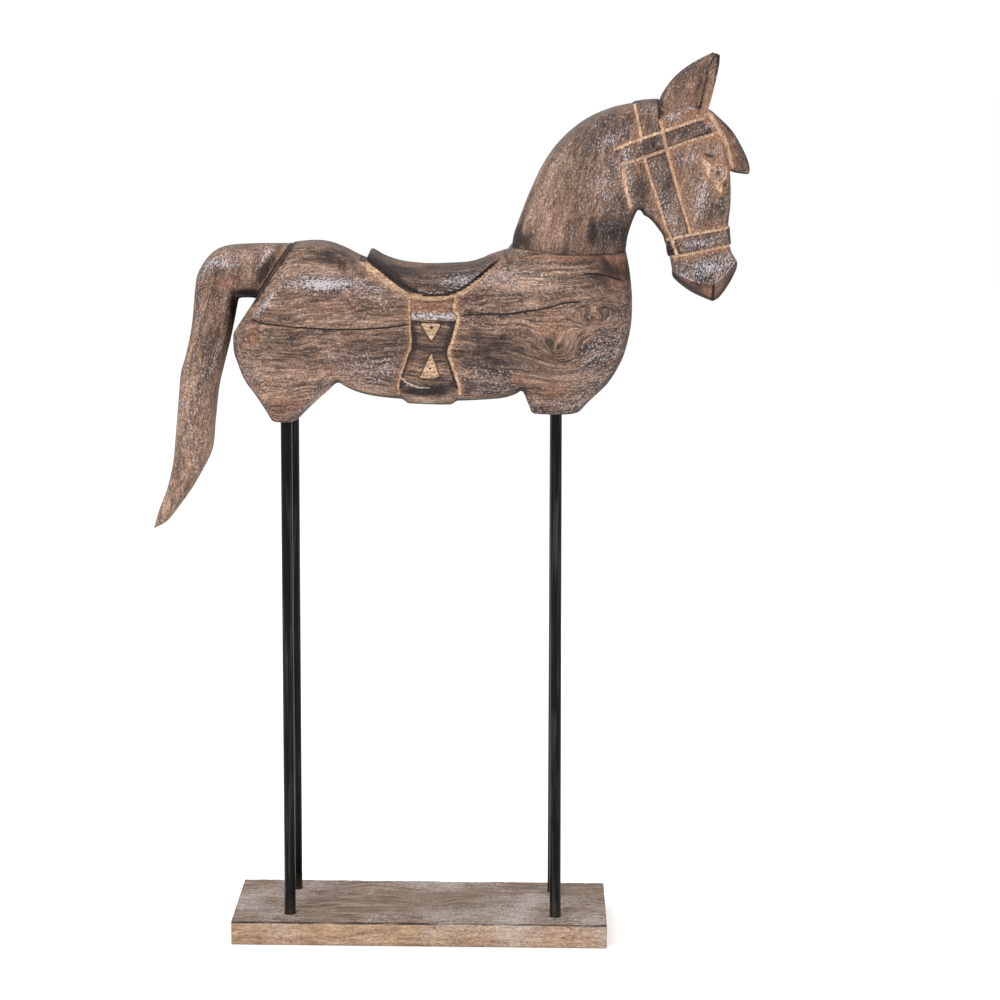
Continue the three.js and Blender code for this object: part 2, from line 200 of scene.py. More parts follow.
def bar_between(name, low, high, radius, material, rings=60):
    """A round bar: circles about the straight line from low to high, with 0.6 mm broken ends."""
    chamfer = 0.6e-3
    low, high = np.array(low), np.array(high)
    length = np.linalg.norm(high - low)
    way = (high - low) / length
    across = np.cross(way, (0, 1, 0))
    across /= np.linalg.norm(across)
    other = np.cross(way, across)
    along = np.concatenate([[0, chamfer], np.linspace(2 * chamfer, length - 2 * chamfer, rings)])
    along = np.append(along, [length - chamfer, length])
    radii = np.full(len(along), radius)
    radii[[0, -1]] -= chamfer
    turn = np.linspace(0, 2 * math.pi, BAR_SIDES, endpoint=False)
    circle = np.cos(turn)[:, None] * across + np.sin(turn)[:, None] * other
    grid = low + along[:, None, None] * way + radii[:, None, None] * circle
    return skin(name, grid, {}, material)


# Limewashed hardwood, sawn and sanded. Grey-brown with a pale bloom in places on top, bare pinkish
# wood on the sawn edges, and a thin dirty line with white chips where the two meet. The grain is
# 2 mm wide and the flecks in it 0.8 mm.
base_wood, tree = blank("limewashed hardwood, sanded")
place = add(tree, "TexCoord", out="Object")
slow = add(tree, "TexNoise", {"Vector": place, "Scale": 9, "Detail": 1}, out=1)
feeds = {0: slow, 1: (0.06, 0.06, 0.02), 2: place}
swayed = add(tree, "VectorMath", feeds, operation="MULTIPLY_ADD")
long = add(tree, "Mapping", {0: swayed, 3: (0.08, 1, 1)})
grain = add(tree, "TexNoise", {"Vector": long, "Scale": 240, "Detail": 5, "Roughness": 0.7})
short = add(tree, "Mapping", {0: swayed, 3: (0.45, 1, 1)})
fleck = add(tree, "TexNoise", {"Vector": short, "Scale": 640, "Detail": 3, "Roughness": 0.7})
patch = add(tree, "TexNoise", {"Vector": place, "Scale": 13, "Detail": 3})
bare, dirt, chalk = (
    add(tree, "Attribute", attribute_name=key, out="Fac") for key in ("bare", "dirt", "chalk")
)
top = add(tree, "ValToRGB", {0: grain}, [(0.34, "#44362F"), (0.68, "#978273"), (0.5, "#715F52")])
sawn = add(tree, "ValToRGB", {0: grain}, [(0.3, "#6C523F"), (0.7, "#B89B7F"), (0.48, "#957962")])
tone = covered(tree, bare, top, sawn)
speckle = ranged(tree, fleck, 0.3, 0.7, 0.66, 1.32)
tone = add(tree, "HueSaturation", {2: speckle, 4: tone})
cover = maths(tree, "MULTIPLY_ADD", chalk, 0.3, patch)
cover = maths(tree, "ADD", fleck, cover)
bloom = ranged(tree, cover, 1.0, 1.3, 0.0, 0.6)
tone = covered(tree, bloom, tone, linear("#B9B1AD"))
grime = ranged(tree, fleck, 0.35, 0.5, 0.45, 1.0)
grime = maths(tree, "MULTIPLY", grime, dirt)
tone = covered(tree, grime, tone, linear("#241C17"))
bump = add(tree, "Bump", {"Height": grain, "Distance": 0.0005, "Strength": 0.6})
surfaced(tree, tone, 0.82, bump, index=1.5, gleam=0.25)

base_low, base_high = (np.array(corner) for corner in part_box("base"))


def block(low, high, radius, lengthwise=250, across=64, upright=26, capped=24):
    """A box with rounded edges, as rings along X.

    A point of the sharp box is first clamped to a box that is smaller by the radius, and then put
    at the radius from there, towards where it came from. Points crowd near the edges, in the way
    that the sine of an even angle does.
    """
    middle, half = (low + high) / 2, (high - low) / 2
    sides = (np.sin(np.linspace(-math.pi / 2, math.pi / 2, n))[:-1] for n in (across, upright))
    long, short = sides
    one, other = np.ones(len(short)), np.ones(len(long))
    around = np.vstack(
        [
            np.stack([one, short], axis=-1),
            np.stack([-long, other], axis=-1),
            np.stack([-one, -short], axis=-1),
            np.stack([long, -other], axis=-1),
        ]
    )
    growth = np.sin(np.linspace(0.03, math.pi / 2, capped))[:-1]
    shrink = np.concatenate([growth, np.ones(lengthwise), growth[::-1]])
    ends = np.ones(len(growth))
    x = np.concatenate([-ends, np.sin(np.linspace(-1, 1, lengthwise) * math.pi / 2), ends])
    grid = np.zeros((len(x), len(around), 3))
    grid[:, :, 0] = x[:, None]
    grid[:, :, 1:] = around * shrink[:, None, None]
    sharp = grid * half
    inner = np.clip(sharp, radius - half, half - radius)
    away = sharp - inner
    away /= np.maximum(np.linalg.norm(away, axis=-1, keepdims=True), 1e-9)
    return middle + inner + radius * away


grid = block(base_low, base_high, BASE_EDGE)
middle, half = (base_low + base_high) / 2, (base_high - base_low) / 2
from_face = half - np.abs(grid - middle)
from_edge = np.sort(from_face, axis=-1)[..., 1]  # the second least distance to a face

# Knocks dent the edges, the upper ones most, and the top isn't quite true.
upper = step(grid[..., 2], base_high[2] - 0.004, base_high[2] - 0.001)
knock = step(unevenness(grid, 0.011, 3), 0.25, 1.0) * fall(from_edge, 0.0004, 0.0022)
inward = np.sign(middle - grid) * (from_face < 0.002)
grid = grid + inward * (BASE_CHIP * knock * (0.25 + 0.75 * upper))[..., None]
grid[..., 2] -= np.clip(BASE_SAG * (1 + unevenness(grid, 0.05, 5)) * upper, 0, None)

# The dirty line wanders along the front only. Dirt also sits on every edge.
below_top = np.maximum(base_high[2] - grid[..., 2], 0)
line = BASE_SAW_LINE + 0.0005 * unevenness(grid, 0.03, 8)
off_front = grid[..., 1] > base_low[1] + 0.004
to_line = np.abs(below_top - line) + 0.01 * off_front
line_dirt = fall(to_line, 0.0004, 0.0013) * step(unevenness(grid, 0.04, 9), -1.0, 0.2)
chips = fall(np.abs(below_top - BASE_CHALK_LINE), 0, 0.0012)
paint = {
    "bare": step(below_top, BASE_SAW_LINE, 0.0026),
    "dirt": np.clip(line_dirt + 0.8 * fall(from_edge, 0.0002, 0.0012), 0, 1),
    "chalk": chips * step(unevenness(grid, 0.012, 14), 0, 0.8),
}
base = skin("base_block", grid, paint, base_wood)

# The sockets sit where the frame has the feet of the bars.
rod_ends = {}
for node_name in ("rod_hind_near", "rod_hind_far", "rod_fore_near", "rod_fore_far"):
    low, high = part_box(node_name)
    corners = np.array([v.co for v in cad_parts[node_name].data.vertices])
    foot = corners[corners[:, 2] < low.z + BAR_END]
    head = corners[corners[:, 2] > high.z - BAR_END]
    rod_ends[node_name] = [(end.min(0) + end.max(0)) / 2 for end in (foot, head)]


def drilled(piece, end, below, above):
    """Cuts a socket for each bar around its end: 0 is the foot of a bar and 1 its head."""
    drills = []
    for ends in rod_ends.values():
        low, high = ends[end] - (0, 0, below), ends[end] + (0, 0, above)
        drills.append(bar_between("socket", low, high, SOCKET_RADIUS, base_wood, 4))
    combined(piece, drills, "DIFFERENCE")


drilled(base, 0, SOCKET_ROOM, BASE_DRILL)
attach(base, "root")
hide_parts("base")

# BARS
# Four lengths of half-inch round steel bar, painted satin black. Each is pressed into the base and
# into a leg stub. The two fore bars lean a little.

BAR_RADIUS = 6.35e-3

# Satin paint, brushed on lengthwise: near black, with thin streaks of light, rubbed brown at the
# feet. The marks of the brush are 1.2 mm wide.
black_paint, tree = blank("black satin paint on mild steel")
place = add(tree, "TexCoord", out="Object")
long = add(tree, "Mapping", {0: place, 3: (1, 1, 0.03)})
brush = add(tree, "TexNoise", {"Vector": long, "Scale": 420, "Detail": 3})
rub = add(tree, "TexNoise", {"Vector": place, "Scale": 160, "Detail": 4})
height = add(tree, "SeparateXYZ", {0: place}, out=2)
foot = ranged(tree, height, 0.05, 0.027, 0.0, 0.5)
worn = maths(tree, "MULTIPLY", foot, rub)
streak = add(tree, "ValToRGB", {0: brush}, [(0.5, "#060606"), (0.75, "#343538")])
tone = covered(tree, worn, streak, linear("#5E4D3C"))
gloss = ranged(tree, brush, 0.3, 0.7, 0.22, 0.4)
bump = add(tree, "Bump", {"Height": brush, "Distance": 0.0001, "Strength": 0.4})
surfaced(tree, tone, gloss, bump, index=1.45, gleam=0.12)

for node_name, (foot, head) in rod_ends.items():
    bar = bar_between(node_name + "_bar", foot, head, BAR_RADIUS, black_paint)
    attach(bar, "root")
    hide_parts(node_name)

# BODY
# The trunk with its saddle, girth and four leg stubs, carved from one thick hardwood block, stained
# brown, whitewashed and rubbed back. The neck and the tail are glued to flat faces on it.

# Places are thousandths of the horse's length, forward from the tip of the tail and up from the
# hind soles. A row is [x and z of the outer edge, x and z of the inner edge, half width in
# hundredths, roundness of the outer half, roundness of the inner half] of a cross-section, and a
# spot is [x, z, half length, half height, lean in degrees, strength] of a change in the paint.
PART = 0.662e-3
MM = 1e-3 / PART
NO_CUT, NO_CRACK = -6, 20  # millimetres from a cut or a crack where there is none
RUMP_END = 146  # place of the first cross-section of the trunk
ORIGIN = np.array([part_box("body")[0].x - RUMP_END * PART, 0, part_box("body")[0].z])
BODY_WIDTH = 0.136
SEAM_GAP = 0.3  # between blocks that are glued face to face. All depths below are millimetres too
SADDLE_RISE = 5.0  # saddle above the flank
GROOVE_DEPTH = 2.5  # bare groove that runs below the saddle
PANEL_DEPTH = 2.5  # girth below the flank
NOTCH_DEPTH = 1.3  # knife cut along both edges of the girth
TRIANGLE_DEPTH = 2.0  # triangles below the girth
RIDGE_RISE = 1.0  # bead across the head of the girth
ROLL_RISE, ROLL_DROP = 1.8, 4.5  # rolled foot of the girth, sideways and below the belly
STUB_DRILL = 0.075  # reach of the drill below the head of a bar, in metres, well past the sole
SHARP = math.radians(40)  # an edge that turns by more is drawn sharp


def smooth_rows(rows, places):
    """The rows between the given ones: a Catmull-Rom curve through every column."""
    rows = np.array(rows, float)
    padded = np.vstack([2 * rows[0] - rows[1], rows, 2 * rows[-1] - rows[-2]])
    at = np.clip(places.astype(int), 0, len(rows) - 2)
    a, b, c, d = (padded[at + k] for k in range(4))
    t = (places - at)[:, None]
    cubic = 2 * b + (c - a) * t + (2 * a - 5 * b + 4 * c - d) * t**2
    return (cubic + (3 * b - a - 3 * c + d) * t**3) / 2


def loft(rows, width, rings, sides, crowd=0.0, finer=None):
    """Rings through the rows, evenly spaced along the outer and inner edges.

    A ring is a superellipse written by direction: the radius is (|cos|^n + |sin|^n)^(-1/n). Crowd
    brings its points together on the two flanks, and finer, as [start, end, how many times], gives
    one stretch more rings.
    """
    dense = np.linspace(0, len(rows) - 1, 40 * len(rows))
    trial = smooth_rows(rows, dense)
    steps = np.diff(trial[:, :4], axis=0)
    travel = np.hypot(steps[:, 0], steps[:, 1]) + np.hypot(steps[:, 2], steps[:, 3])
    if finer:
        start, end, times = finer
        travel = travel * np.where((trial[1:, 0] > start) & (trial[1:, 0] < end), times, 1)
    travel = np.concatenate([[0], np.cumsum(travel)])
    places = np.interp(np.linspace(0, travel[-1], rings), travel, dense)
    outer_x, outer_z, inner_x, inner_z, share, upper, lower = smooth_rows(rows, places).T[..., None]
    turn = np.linspace(0, 2 * math.pi, sides, endpoint=False)
    turn = (turn - crowd * np.sin(2 * turn) / 2)[None]
    power = np.where(np.sin(turn) >= 0, upper, lower)
    cosine, sine = np.cos(turn), np.sin(turn)
    radius = (np.abs(cosine) ** power + np.abs(sine) ** power) ** (-1 / power)
    up = radius * sine
    x = (outer_x + inner_x) / 2 + (outer_x - inner_x) / 2 * up
    z = (outer_z + inner_z) / 2 + (outer_z - inner_z) / 2 * up
    y = width / PART * share / 200 * radius * cosine
    return np.stack([x, y, z], axis=-1)


def outward(grid):
    """Unit normals of a grid: the way round a ring crossed with the way along the rings."""
    around = np.roll(grid, -1, axis=1) - np.roll(grid, 1, axis=1)
    normal = np.cross(around, np.gradient(grid, axis=0))
    return normal / np.maximum(np.linalg.norm(normal, axis=-1, keepdims=True), 1e-9)


def curve(points, count=80):
    """A smooth line through a few points, as many short straight pieces."""
    return smooth_rows(points, np.linspace(0, len(points) - 1, count))


def distance(x, z, line):
    """Least distance in the side view from every point to the pieces of a line."""
    least = np.full(x.shape, 1e9)
    for (ax, az), (bx, bz) in zip(line[:-1], line[1:]):
        dx, dz = bx - ax, bz - az
        along = np.clip(((x - ax) * dx + (z - az) * dz) / (dx * dx + dz * dz + 1e-9), 0, 1)
        least = np.minimum(least, np.hypot(x - ax - along * dx, z - az - along * dz))
    return least


def inside(x, z, outline):
    """Distance to a closed outline in the side view, positive within it and negative outside."""
    closed = np.vstack([outline, outline[:1]])
    within = np.zeros(x.shape, bool)
    for (ax, az), (bx, bz) in zip(closed[:-1], closed[1:]):
        crosses = (az > z) != (bz > z)
        within ^= crosses & (x < ax + (z - az) * (bx - ax) / (bz - az if bz != az else 1e-9))
    return np.where(within, 1, -1) * distance(x, z, closed)


def at_least(value, least, softness):
    """The larger of two values, the corner rounded: least + softness log(1 + exp(gap / softness)).

    Two negative signs about it give the smaller of two values.
    """
    return least + softness * np.logaddexp(0, (value - least) / softness)


def bell(value, middle, width):
    """Bell curve: e to the power of minus the square of the gap over the width."""
    return np.exp(-(((value - middle) / width) ** 2))


def patches(x, z, spots):
    """Sum of soft oval spots."""
    total = np.zeros(x.shape)
    for across, up, long, high, lean, strength in spots:
        turn = math.radians(lean)
        along = (x - across) * math.cos(turn) + (z - up) * math.sin(turn)
        aside = (z - up) * math.cos(turn) - (x - across) * math.sin(turn)
        total += strength * np.exp(-((along / long) ** 2) - (aside / high) ** 2)
    return total


def hollows(grid, reach):
    """How far each point lies below the mean of its four neighbours, in millimetres."""
    around = np.roll(grid, reach, axis=1) + np.roll(grid, -reach, axis=1)
    padded = np.pad(grid, ((reach, reach), (0, 0), (0, 0)), mode="edge")
    along = padded[2 * reach :] + padded[: -2 * reach]
    return (((around + along) / 4 - grid) * outward(grid)).sum(-1) / MM


def crack_offset(x, z, lines):
    """Signed height above the nearest crack in millimetres, and how open the crack is there."""
    off, is_open = np.full(x.shape, float(NO_CRACK)), np.zeros(x.shape)
    for line in lines:
        path = curve(line)
        gap = (z - np.interp(x, *path.T)) / MM
        start, end = path[0, 0], path[-1, 0]
        near = step(x, start - 2, start + 12) * fall(x, end - 10, end + 2)
        take = (near > 0) & (np.abs(gap) < np.abs(off))
        off, is_open = np.where(take, gap, off), np.where(take, near, is_open)
    return off, is_open


def coat(grid, cut=None, white=0.0, dark=0.0, warm=0.0, pale=0.0, **more):
    """What the stain and the whitewash need to know of a carved surface, point by point.

    Cut is the distance within a fresh cut in millimetres. Broad hollows keep the dark stain and
    are painted darker still as shade. Faces that turn away from the two flanks get painted shade,
    heaviest where they face down and least where they look up, where they are also painted grey as
    light from above; a lighter line, partly rubbed arris and partly painted highlight, runs where
    they start to turn. More is for what few surfaces have: crack, crack_open and sway, the bulge
    of the grain in metres.
    """
    plain = np.zeros(grid.shape[:2])
    facing = outward(grid)
    turned = np.abs(facing[..., 1])
    away = fall(turned, 0.3, 0.75)
    up = step(facing[..., 2], -0.1, 0.6)
    down = step(-facing[..., 2], 0.2, 0.8)
    arris = bell(turned, 0.78, 0.1)
    # Painted shade: darker in broad hollows, over the stain kept there, and on faces turned away
    # from the flanks, most below and least on top.
    dark = plain + dark + np.clip(hollows(grid, 5) - 0.12, 0, 0.8)
    dark = dark + away * (0.55 + 0.5 * down - 0.25 * up)
    return {
        "cut": plain + NO_CUT if cut is None else np.clip(cut, NO_CUT, -NO_CUT),
        # The arris line is rubbed wear and painted highlight both; grey is painted light from above
        # on turned faces that look up.
        "white": white + 0.02 + 0.4 * arris - 0.9 * np.clip(dark, 0, 1.2),
        "dark": dark,
        "warm": plain + warm,
        "pale": plain + pale,
        "grey": away * up,
        "crack": plain + NO_CRACK,
        "crack_open": plain,
        "sway": plain,
    } | more


# How wide the marks in the wood are across the grain in millimetres, how many times longer along
# it, and the noise's detail and roughness.
MARKS = {
    "streak": (1.3, 14, 4, 0.68),
    "band": (7, 12, 3, 0.5),
    "patch": (40, 2.2, 3, 0.55),
    "fleck": (0.62, 2.6, 2, 0.8),
    "speck": (0.75, 1.6, 2, 0.8),
    "cloud": (16, 1.8, 4, 0.65),
}
STAIN = [(0.1, "#2E2320"), (0.9, "#A38470"), (0.38, "#57443A"), (0.6, "#785F50")]
RED_STAIN, WORN_STAIN, TOP_LIGHT_GREY = "#875A41", "#8C6348", "#645C53"
SOOT_AND_SHADE, WHITEWASH_AND_HIGHLIGHT, CRACK_BLACK = "#1E1718", "#BDB9BE", "#130E0B"


def aged_wood(name, turn, length=1.0, grainy=1.0, fresh=("#876A54", "#CFAF90")):
    """Stained and whitewashed hardwood whose grain runs along X after a turn about Y.

    To the eye it is brown and streaked under a chalky bloom, black in the hollows, and the colour
    of new timber in the cuts. Length shortens the streaks along the grain, grainy is how much the
    open grain stands out, and fresh holds the dark and the light tone of the bare wood.
    """
    made, tree = blank(name)
    soft = {"interpolation_type": "SMOOTHSTEP"}

    keys = ("cut", "white", "dark", "warm", "pale", "grey", "crack", "crack_open", "sway")
    paint = {key: add(tree, "Attribute", attribute_name=key, out="Fac") for key in keys}
    place = add(tree, "TexCoord", out="Object")
    place = add(tree, "Mapping", {0: place, 2: (0, turn, 0)})
    bulge = add(tree, "CombineXYZ", {2: paint["sway"]})
    place = add(tree, "VectorMath", {0: place, 1: bulge}, operation="ADD")
    slow = add(tree, "TexNoise", {"Vector": place, "Scale": 11, "Detail": 2}, out=1)
    feeds = {0: slow, 1: (0.025, 0.025, 0.025), 2: place}
    swayed = add(tree, "VectorMath", feeds, operation="MULTIPLY_ADD")
    mark = {}
    for key, (width, stretch, detail, roughness) in MARKS.items():
        stretch *= length if key in ("streak", "band") else 1
        long = add(tree, "Mapping", {0: swayed, 3: (1 / stretch, 1, 1)})
        feeds = {"Vector": long, "Scale": 500 / width, "Detail": detail, "Roughness": roughness}
        mark[key] = add(tree, "TexNoise", feeds)

    # The stain: dark in the open grain, paler between, redder in some places, worn near the cuts.
    depth = maths(tree, "ADD", mark["band"], mark["patch"])
    share = 2.2 * grainy
    depth = maths(tree, "MULTIPLY_ADD", mark["streak"], share, depth)
    depth = maths(tree, "MULTIPLY_ADD", paint["pale"], 0.3, depth)
    depth = ranged(tree, depth, 0.45 + share / 2, 1.55 + share / 2)
    tone = add(tree, "ValToRGB", {0: depth}, STAIN)
    warm = ranged(tree, paint["warm"], 0.0, 1.0, 0.0, 0.5, **soft)
    near = maths(tree, "MULTIPLY_ADD", mark["patch"], 8.0, paint["cut"])
    near = ranged(tree, near, -2.0, 4.5, 0.0, 0.75, **soft)
    # Painted grey light from above on turned faces that look up.
    grey = maths(tree, "MULTIPLY", paint["grey"], 0.35)
    for amount, code in ((warm, RED_STAIN), (near, WORN_STAIN), (grey, TOP_LIGHT_GREY)):
        tone = covered(tree, amount, tone, linear(code))

    # Soot and wax in ragged clouds, with the painted shade that the dark attribute brings: in
    # hollows, on turned edges and beside carved parts.
    soot_and_shade = ranged(tree, mark["cloud"], 0.48, 0.7, -0.2, 0.35)
    soot_and_shade = maths(tree, "MULTIPLY_ADD", mark["fleck"], 1.2, soot_and_shade)
    soot_and_shade = maths(tree, "ADD", soot_and_shade, paint["dark"])
    soot_and_shade = ranged(tree, soot_and_shade, 0.75, 1.6, 0.0, 0.92, **soft)
    tone = covered(tree, soot_and_shade, tone, linear(SOOT_AND_SHADE))

    # Bare wood in the cuts, with a slightly ragged edge.
    bare = add(tree, "ValToRGB", {0: mark["streak"]}, [(0.35, fresh[0]), (0.65, fresh[1])])
    edge = maths(tree, "MULTIPLY_ADD", mark["fleck"], 3.0, paint["cut"])
    edge = ranged(tree, edge, 0.9, 2.3, 0.0, 0.92, **soft)
    tone = covered(tree, edge, tone, bare)
    speckle = ranged(tree, mark["speck"], 0.3, 0.7, 0.34, 1.66)
    tone = add(tree, "HueSaturation", {2: speckle, 4: tone})

    # Thin whitewash that stayed on the tops of the grain, and the painted highlights that the white
    # attribute brings.
    rub = add(tree, "Mix", {0: 0.35, 2: mark["fleck"], 3: mark["speck"]})
    rub = maths(tree, "MULTIPLY_ADD", paint["white"], 0.09, rub)
    rub = maths(tree, "MULTIPLY_ADD", mark["cloud"], -0.1, rub)
    cover = ranged(tree, rub, 0.525, 0.63, 0.0, 0.78, **soft)
    tone = covered(tree, cover, tone, linear(WHITEWASH_AND_HIGHLIGHT))

    # Drying cracks, black and ragged.
    ragged = maths(tree, "MULTIPLY_ADD", mark["fleck"], 1.6, paint["crack"])
    ragged = maths(tree, "SUBTRACT", ragged, 0.8)
    ragged = maths(tree, "ABSOLUTE", ragged)
    split = ranged(tree, ragged, 1.4, 0.5, **soft)
    split = maths(tree, "MULTIPLY", split, paint["crack_open"])
    tone = covered(tree, split, tone, linear(CRACK_BLACK))

    relief = maths(tree, "ADD", mark["streak"], mark["fleck"])
    relief = maths(tree, "ADD", relief, mark["speck"])
    bump = add(tree, "Bump", {"Height": relief, "Distance": 0.0008, "Strength": 0.7})
    gloss = ranged(tree, cover, 0.0, 0.7, 0.65, 0.85)
    surfaced(tree, tone, gloss, bump, index=1.5, gleam=0.2)
    return made


def upright(rows):
    """Rows whose outer and inner edges stand above each other at one place along the horse."""
    return [[x, top, x, foot, *shape] for x, top, foot, *shape in rows]


def round_alike(roundness, rows):
    """Rows that are given without their two roundnesses, because these are the same in all."""
    return [(*row, roundness, roundness) for row in rows]


def waved(x, y, z, depth, wavelength, seed, sunk):
    """Knife work and wear leave no surface quite true: it moves in and out by about the depth.

    Depth and sunk, how far it lies below true on the whole, are millimetres, the wavelength metres.
    """
    grid = np.stack([x, y, z], axis=-1)
    wavy = depth * unevenness(grid * PART, wavelength, seed) - sunk
    return (grid + outward(grid) * (wavy * MM)[..., None]).transpose(2, 0, 1)


def ahead_of_seam(x, z):
    """Distance ahead of the slanted plane that the tail is glued to, and the way up that plane."""
    rise = (TAIL_SEAM[1] - TAIL_SEAM[0]) / np.linalg.norm(TAIL_SEAM[1] - TAIL_SEAM[0])
    return (x - TAIL_SEAM[0, 0]) * rise[1] - (z - TAIL_SEAM[0, 1]) * rise[0], rise


BODY_ROWS = upright(
    [
        (146, 150, 122, 34, 3, 3), (149, 172, 107, 68, 3, 4), (156, 195, 92, 84, 3, 5),
        (168, 226, 65, 92, 3, 6), (186, 257, 38, 96, 3, 6), (204, 276, 11, 98, 3, 6),
        (218, 283, -10, 99, 3, 6), (234, 288, -16, 100, 3, 6), (246, 291, -9, 100, 3, 6),
        (258, 293, 4, 100, 3, 6), (283, 295, 29, 100, 3, 6), (305, 292, 48, 99, 3, 5.5),
        (321, 286.5, 61, 97, 3, 5), (336, 280, 53, 94, 3, 4.5), (356, 270, 44, 91, 3, 4.2),
        (385, 260, 37, 88, 3, 4), (425, 252, 33, 86, 3, 4), (478, 247, 31, 86, 3, 4),
        (530, 252, 31, 87, 3, 4), (575, 271, 34, 91, 3, 4.2), (600, 281, 38, 93, 3.4, 4.5),
        (617, 304, 44, 94, 4, 5), (629, 320, 50, 95, 4, 6), (639, 328, 28, 95, 4, 6),
        (651, 336, 8, 95, 4, 6), (690, 345, 2, 95, 4, 6), (718, 347, 12, 94, 4, 6),
        (740, 343, 34, 92, 4, 6), (771, 330, 64, 88, 4, 5.5), (791, 308, 96, 80, 4, 5),
        (803, 268, 126, 66, 3.4, 4), (809, 228, 154, 45, 3, 3.4), (811, 206, 180, 22, 3, 3),
    ]
)
SADDLE_TOP = curve(
    [
        (366, 262), (370, 275), (376, 281), (395, 271), (423, 262), (452, 258), (481, 257),
        (510, 258), (539, 261), (560, 267), (573, 273), (590, 279), (604, 283),
    ]
)
SADDLE_EDGE = curve(
    [(373, 271), (387, 260), (406, 245), (428, 231), (462, 217), (484, 215), (509, 218), (542, 235),
     (584, 269)]
)
SADDLE_GROOVE = curve(
    [
        (362, 265), (373, 258), (392, 244), (412, 229), (437, 214), (456, 210), (484, 208),
        (513, 213), (532, 220), (550, 235), (569, 254), (588, 271),
    ]
)
GIRTH_BACK = curve(
    [(443, 213), (443, 187), (444, 157), (445, 129), (437, 106), (428, 77), (424, 60), (426, 36),
     (428, 0)],
    50,
)
GIRTH_FRONT = curve(
    [(518, 214), (513, 190), (520, 181), (519, 169), (511, 139), (505, 118), (511, 97), (521, 66),
     (523, 57), (522, 36), (520, 0)],
    60,
)
RIDGE, PANEL_TOP, PANEL_FOOT, ROLL_TOP = 179, 172, 62, 60  # levels on the girth, from the top
GIRTH_MIDDLE = 481  # between its back and its front edge
TRIANGLES = [[(460, 167), (494, 166), (478, 137)], [(478, 118), (457, 74), (492, 77)]]
CRACKS = [
    [(177, 176), (201, 167), (264, 160.5), (341, 157), (405, 160), (445, 166)],
    [(524, 181), (562, 184), (600, 185), (660, 194), (698, 204), (727, 206)],
    [(722, 253), (760, 250), (798, 238)],
]
# Of the hind and the fore stubs: where they start and end, the top of the arch between them, and
# the level of their soles.
ARCHES = [((160, 326), 62, 0), ((632, 775), 50, 16)]
LEG_GAP = 0.044 / PART
NECK_SEAM = curve(
    [(600, 289), (624, 289), (642, 288), (675, 284), (695, 281), (797, 283), (830, 283)]
)
TAIL_SEAM = np.array([(144, 139), (242, 290)])
HIP_RIDGE = np.array(
    [(150, 160), (184, 177), (213, 205), (240, 222), (264, 230), (292, 231), (330, 229), (375, 215)]
)

# Spots of whitewash, of soot, of redder and of paler stain. Some dark spots are painted shade:
# along the rear of the saddle's edge, under the top of the girth's rolled foot and on the chest
# beside the foot of the neck.
BODY_WHITE = [
    (300, 230, 48, 9, 0, 2.2), (205, 198, 34, 6, 50, 1.5), (382, 218, 45, 22, 0, 0.65),
    (376, 87, 50, 28, 0, 0.6), (321, 116, 20, 14, 0, 0.6), (576, 78, 50, 22, 0, 0.7),
    (576, 237, 40, 20, 0, 0.5), (743, 91, 40, 45, 0, 0.6), (767, 131, 28, 30, 0, 0.6),
    (189, 82, 12, 25, 30, 0.6), (700, 37, 30, 8, 0, 0.7), (292, 42, 40, 5, 38, 1.4),
    (515, 236, 42, 12, 15, 1.1), (560, 170, 60, 30, 0, 0.25), (640, 240, 60, 30, 0, 0.6),
]
PITS = [(478, 159, 3.5, 3, 0, 1.5), (476, 91, 3, 3.5, 0, 1.5)]  # one in each triangle
BODY_DARK = [
    (295, 276, 50, 15, 0, 0.8), (404, 248, 44, 8, -36, 1.7), (560, 215, 40, 8, 20, 0.3),
    (564, 136, 38, 24, 0, 0.5), (676, 137, 35, 10, -15, 0.7), (744, 177, 12, 6, 0, 0.5),
    (179, 168, 16, 10, 0, 0.6), (646, 65, 14, 8, 0, 0.5), (466, 52, 44, 10, 0, 1.5),
    (470, 228, 46, 8, 0, 0.6), *PITS, (600, 120, 200, 60, 0, 0.12), (772, 255, 44, 24, -10, 1.0),
    (294, 38, 44, 8, 38, -1.0), (366, 254, 9, 16, 0, -1.0),
]
BODY_WARM = [
    (182, 144, 16, 25, 0, 0.8), (244, 32, 25, 15, 0, 0.7), (313, 196, 90, 16, 0, 0.45),
    (315, 93, 10, 8, 0, 0.9), (684, 57, 25, 14, 0, 0.8), (623, 77, 12, 16, 0, 0.9),
    (671, 167, 30, 24, 0, 0.55), (777, 108, 14, 20, 0, 0.5), (584, 250, 24, 9, 45, 0.8),
    (372, 252, 22, 9, -42, 0.8), (781, 250, 15, 35, 0, 0.8), (330, 268, 20, 10, -20, 0.5),
    (480, 192, 34, 12, 0, 1.2), (705, 277, 90, 4, 0, 1.1), (790, 262, 20, 22, 0, 0.4),
    (440, 262, 50, 14, -15, 0.6),
]
BODY_PALE = [
    (304, 190, 80, 40, 0, 0.5), (300, 230, 60, 14, 0, -0.5), (340, 110, 60, 50, 0, 0.5),
    (660, 170, 60, 60, 0, 0.4), (244, 40, 40, 40, 0, -0.45), (576, 78, 50, 20, 0, -0.6),
    (376, 87, 50, 28, 0, -0.6), (478, 120, 50, 50, 0, -0.3), (466, 34, 36, 5, 0, 1.2),
    (640, 243, 75, 28, 0, 0.9), (782, 255, 34, 28, 0, -0.7), (770, 110, 30, 50, 0, -0.3),
    (705, 277, 90, 4, 0, 0.4),
]
KNOTS = [(744, 177, 26, 13, 0, 18), (690, 118, 56, 32, -12, 22), (250, 120, 60, 22, 0, 6)]
CHEST, CHEST_LEAN = 755, 1.6  # where the grain starts to rise towards the front, and how steeply
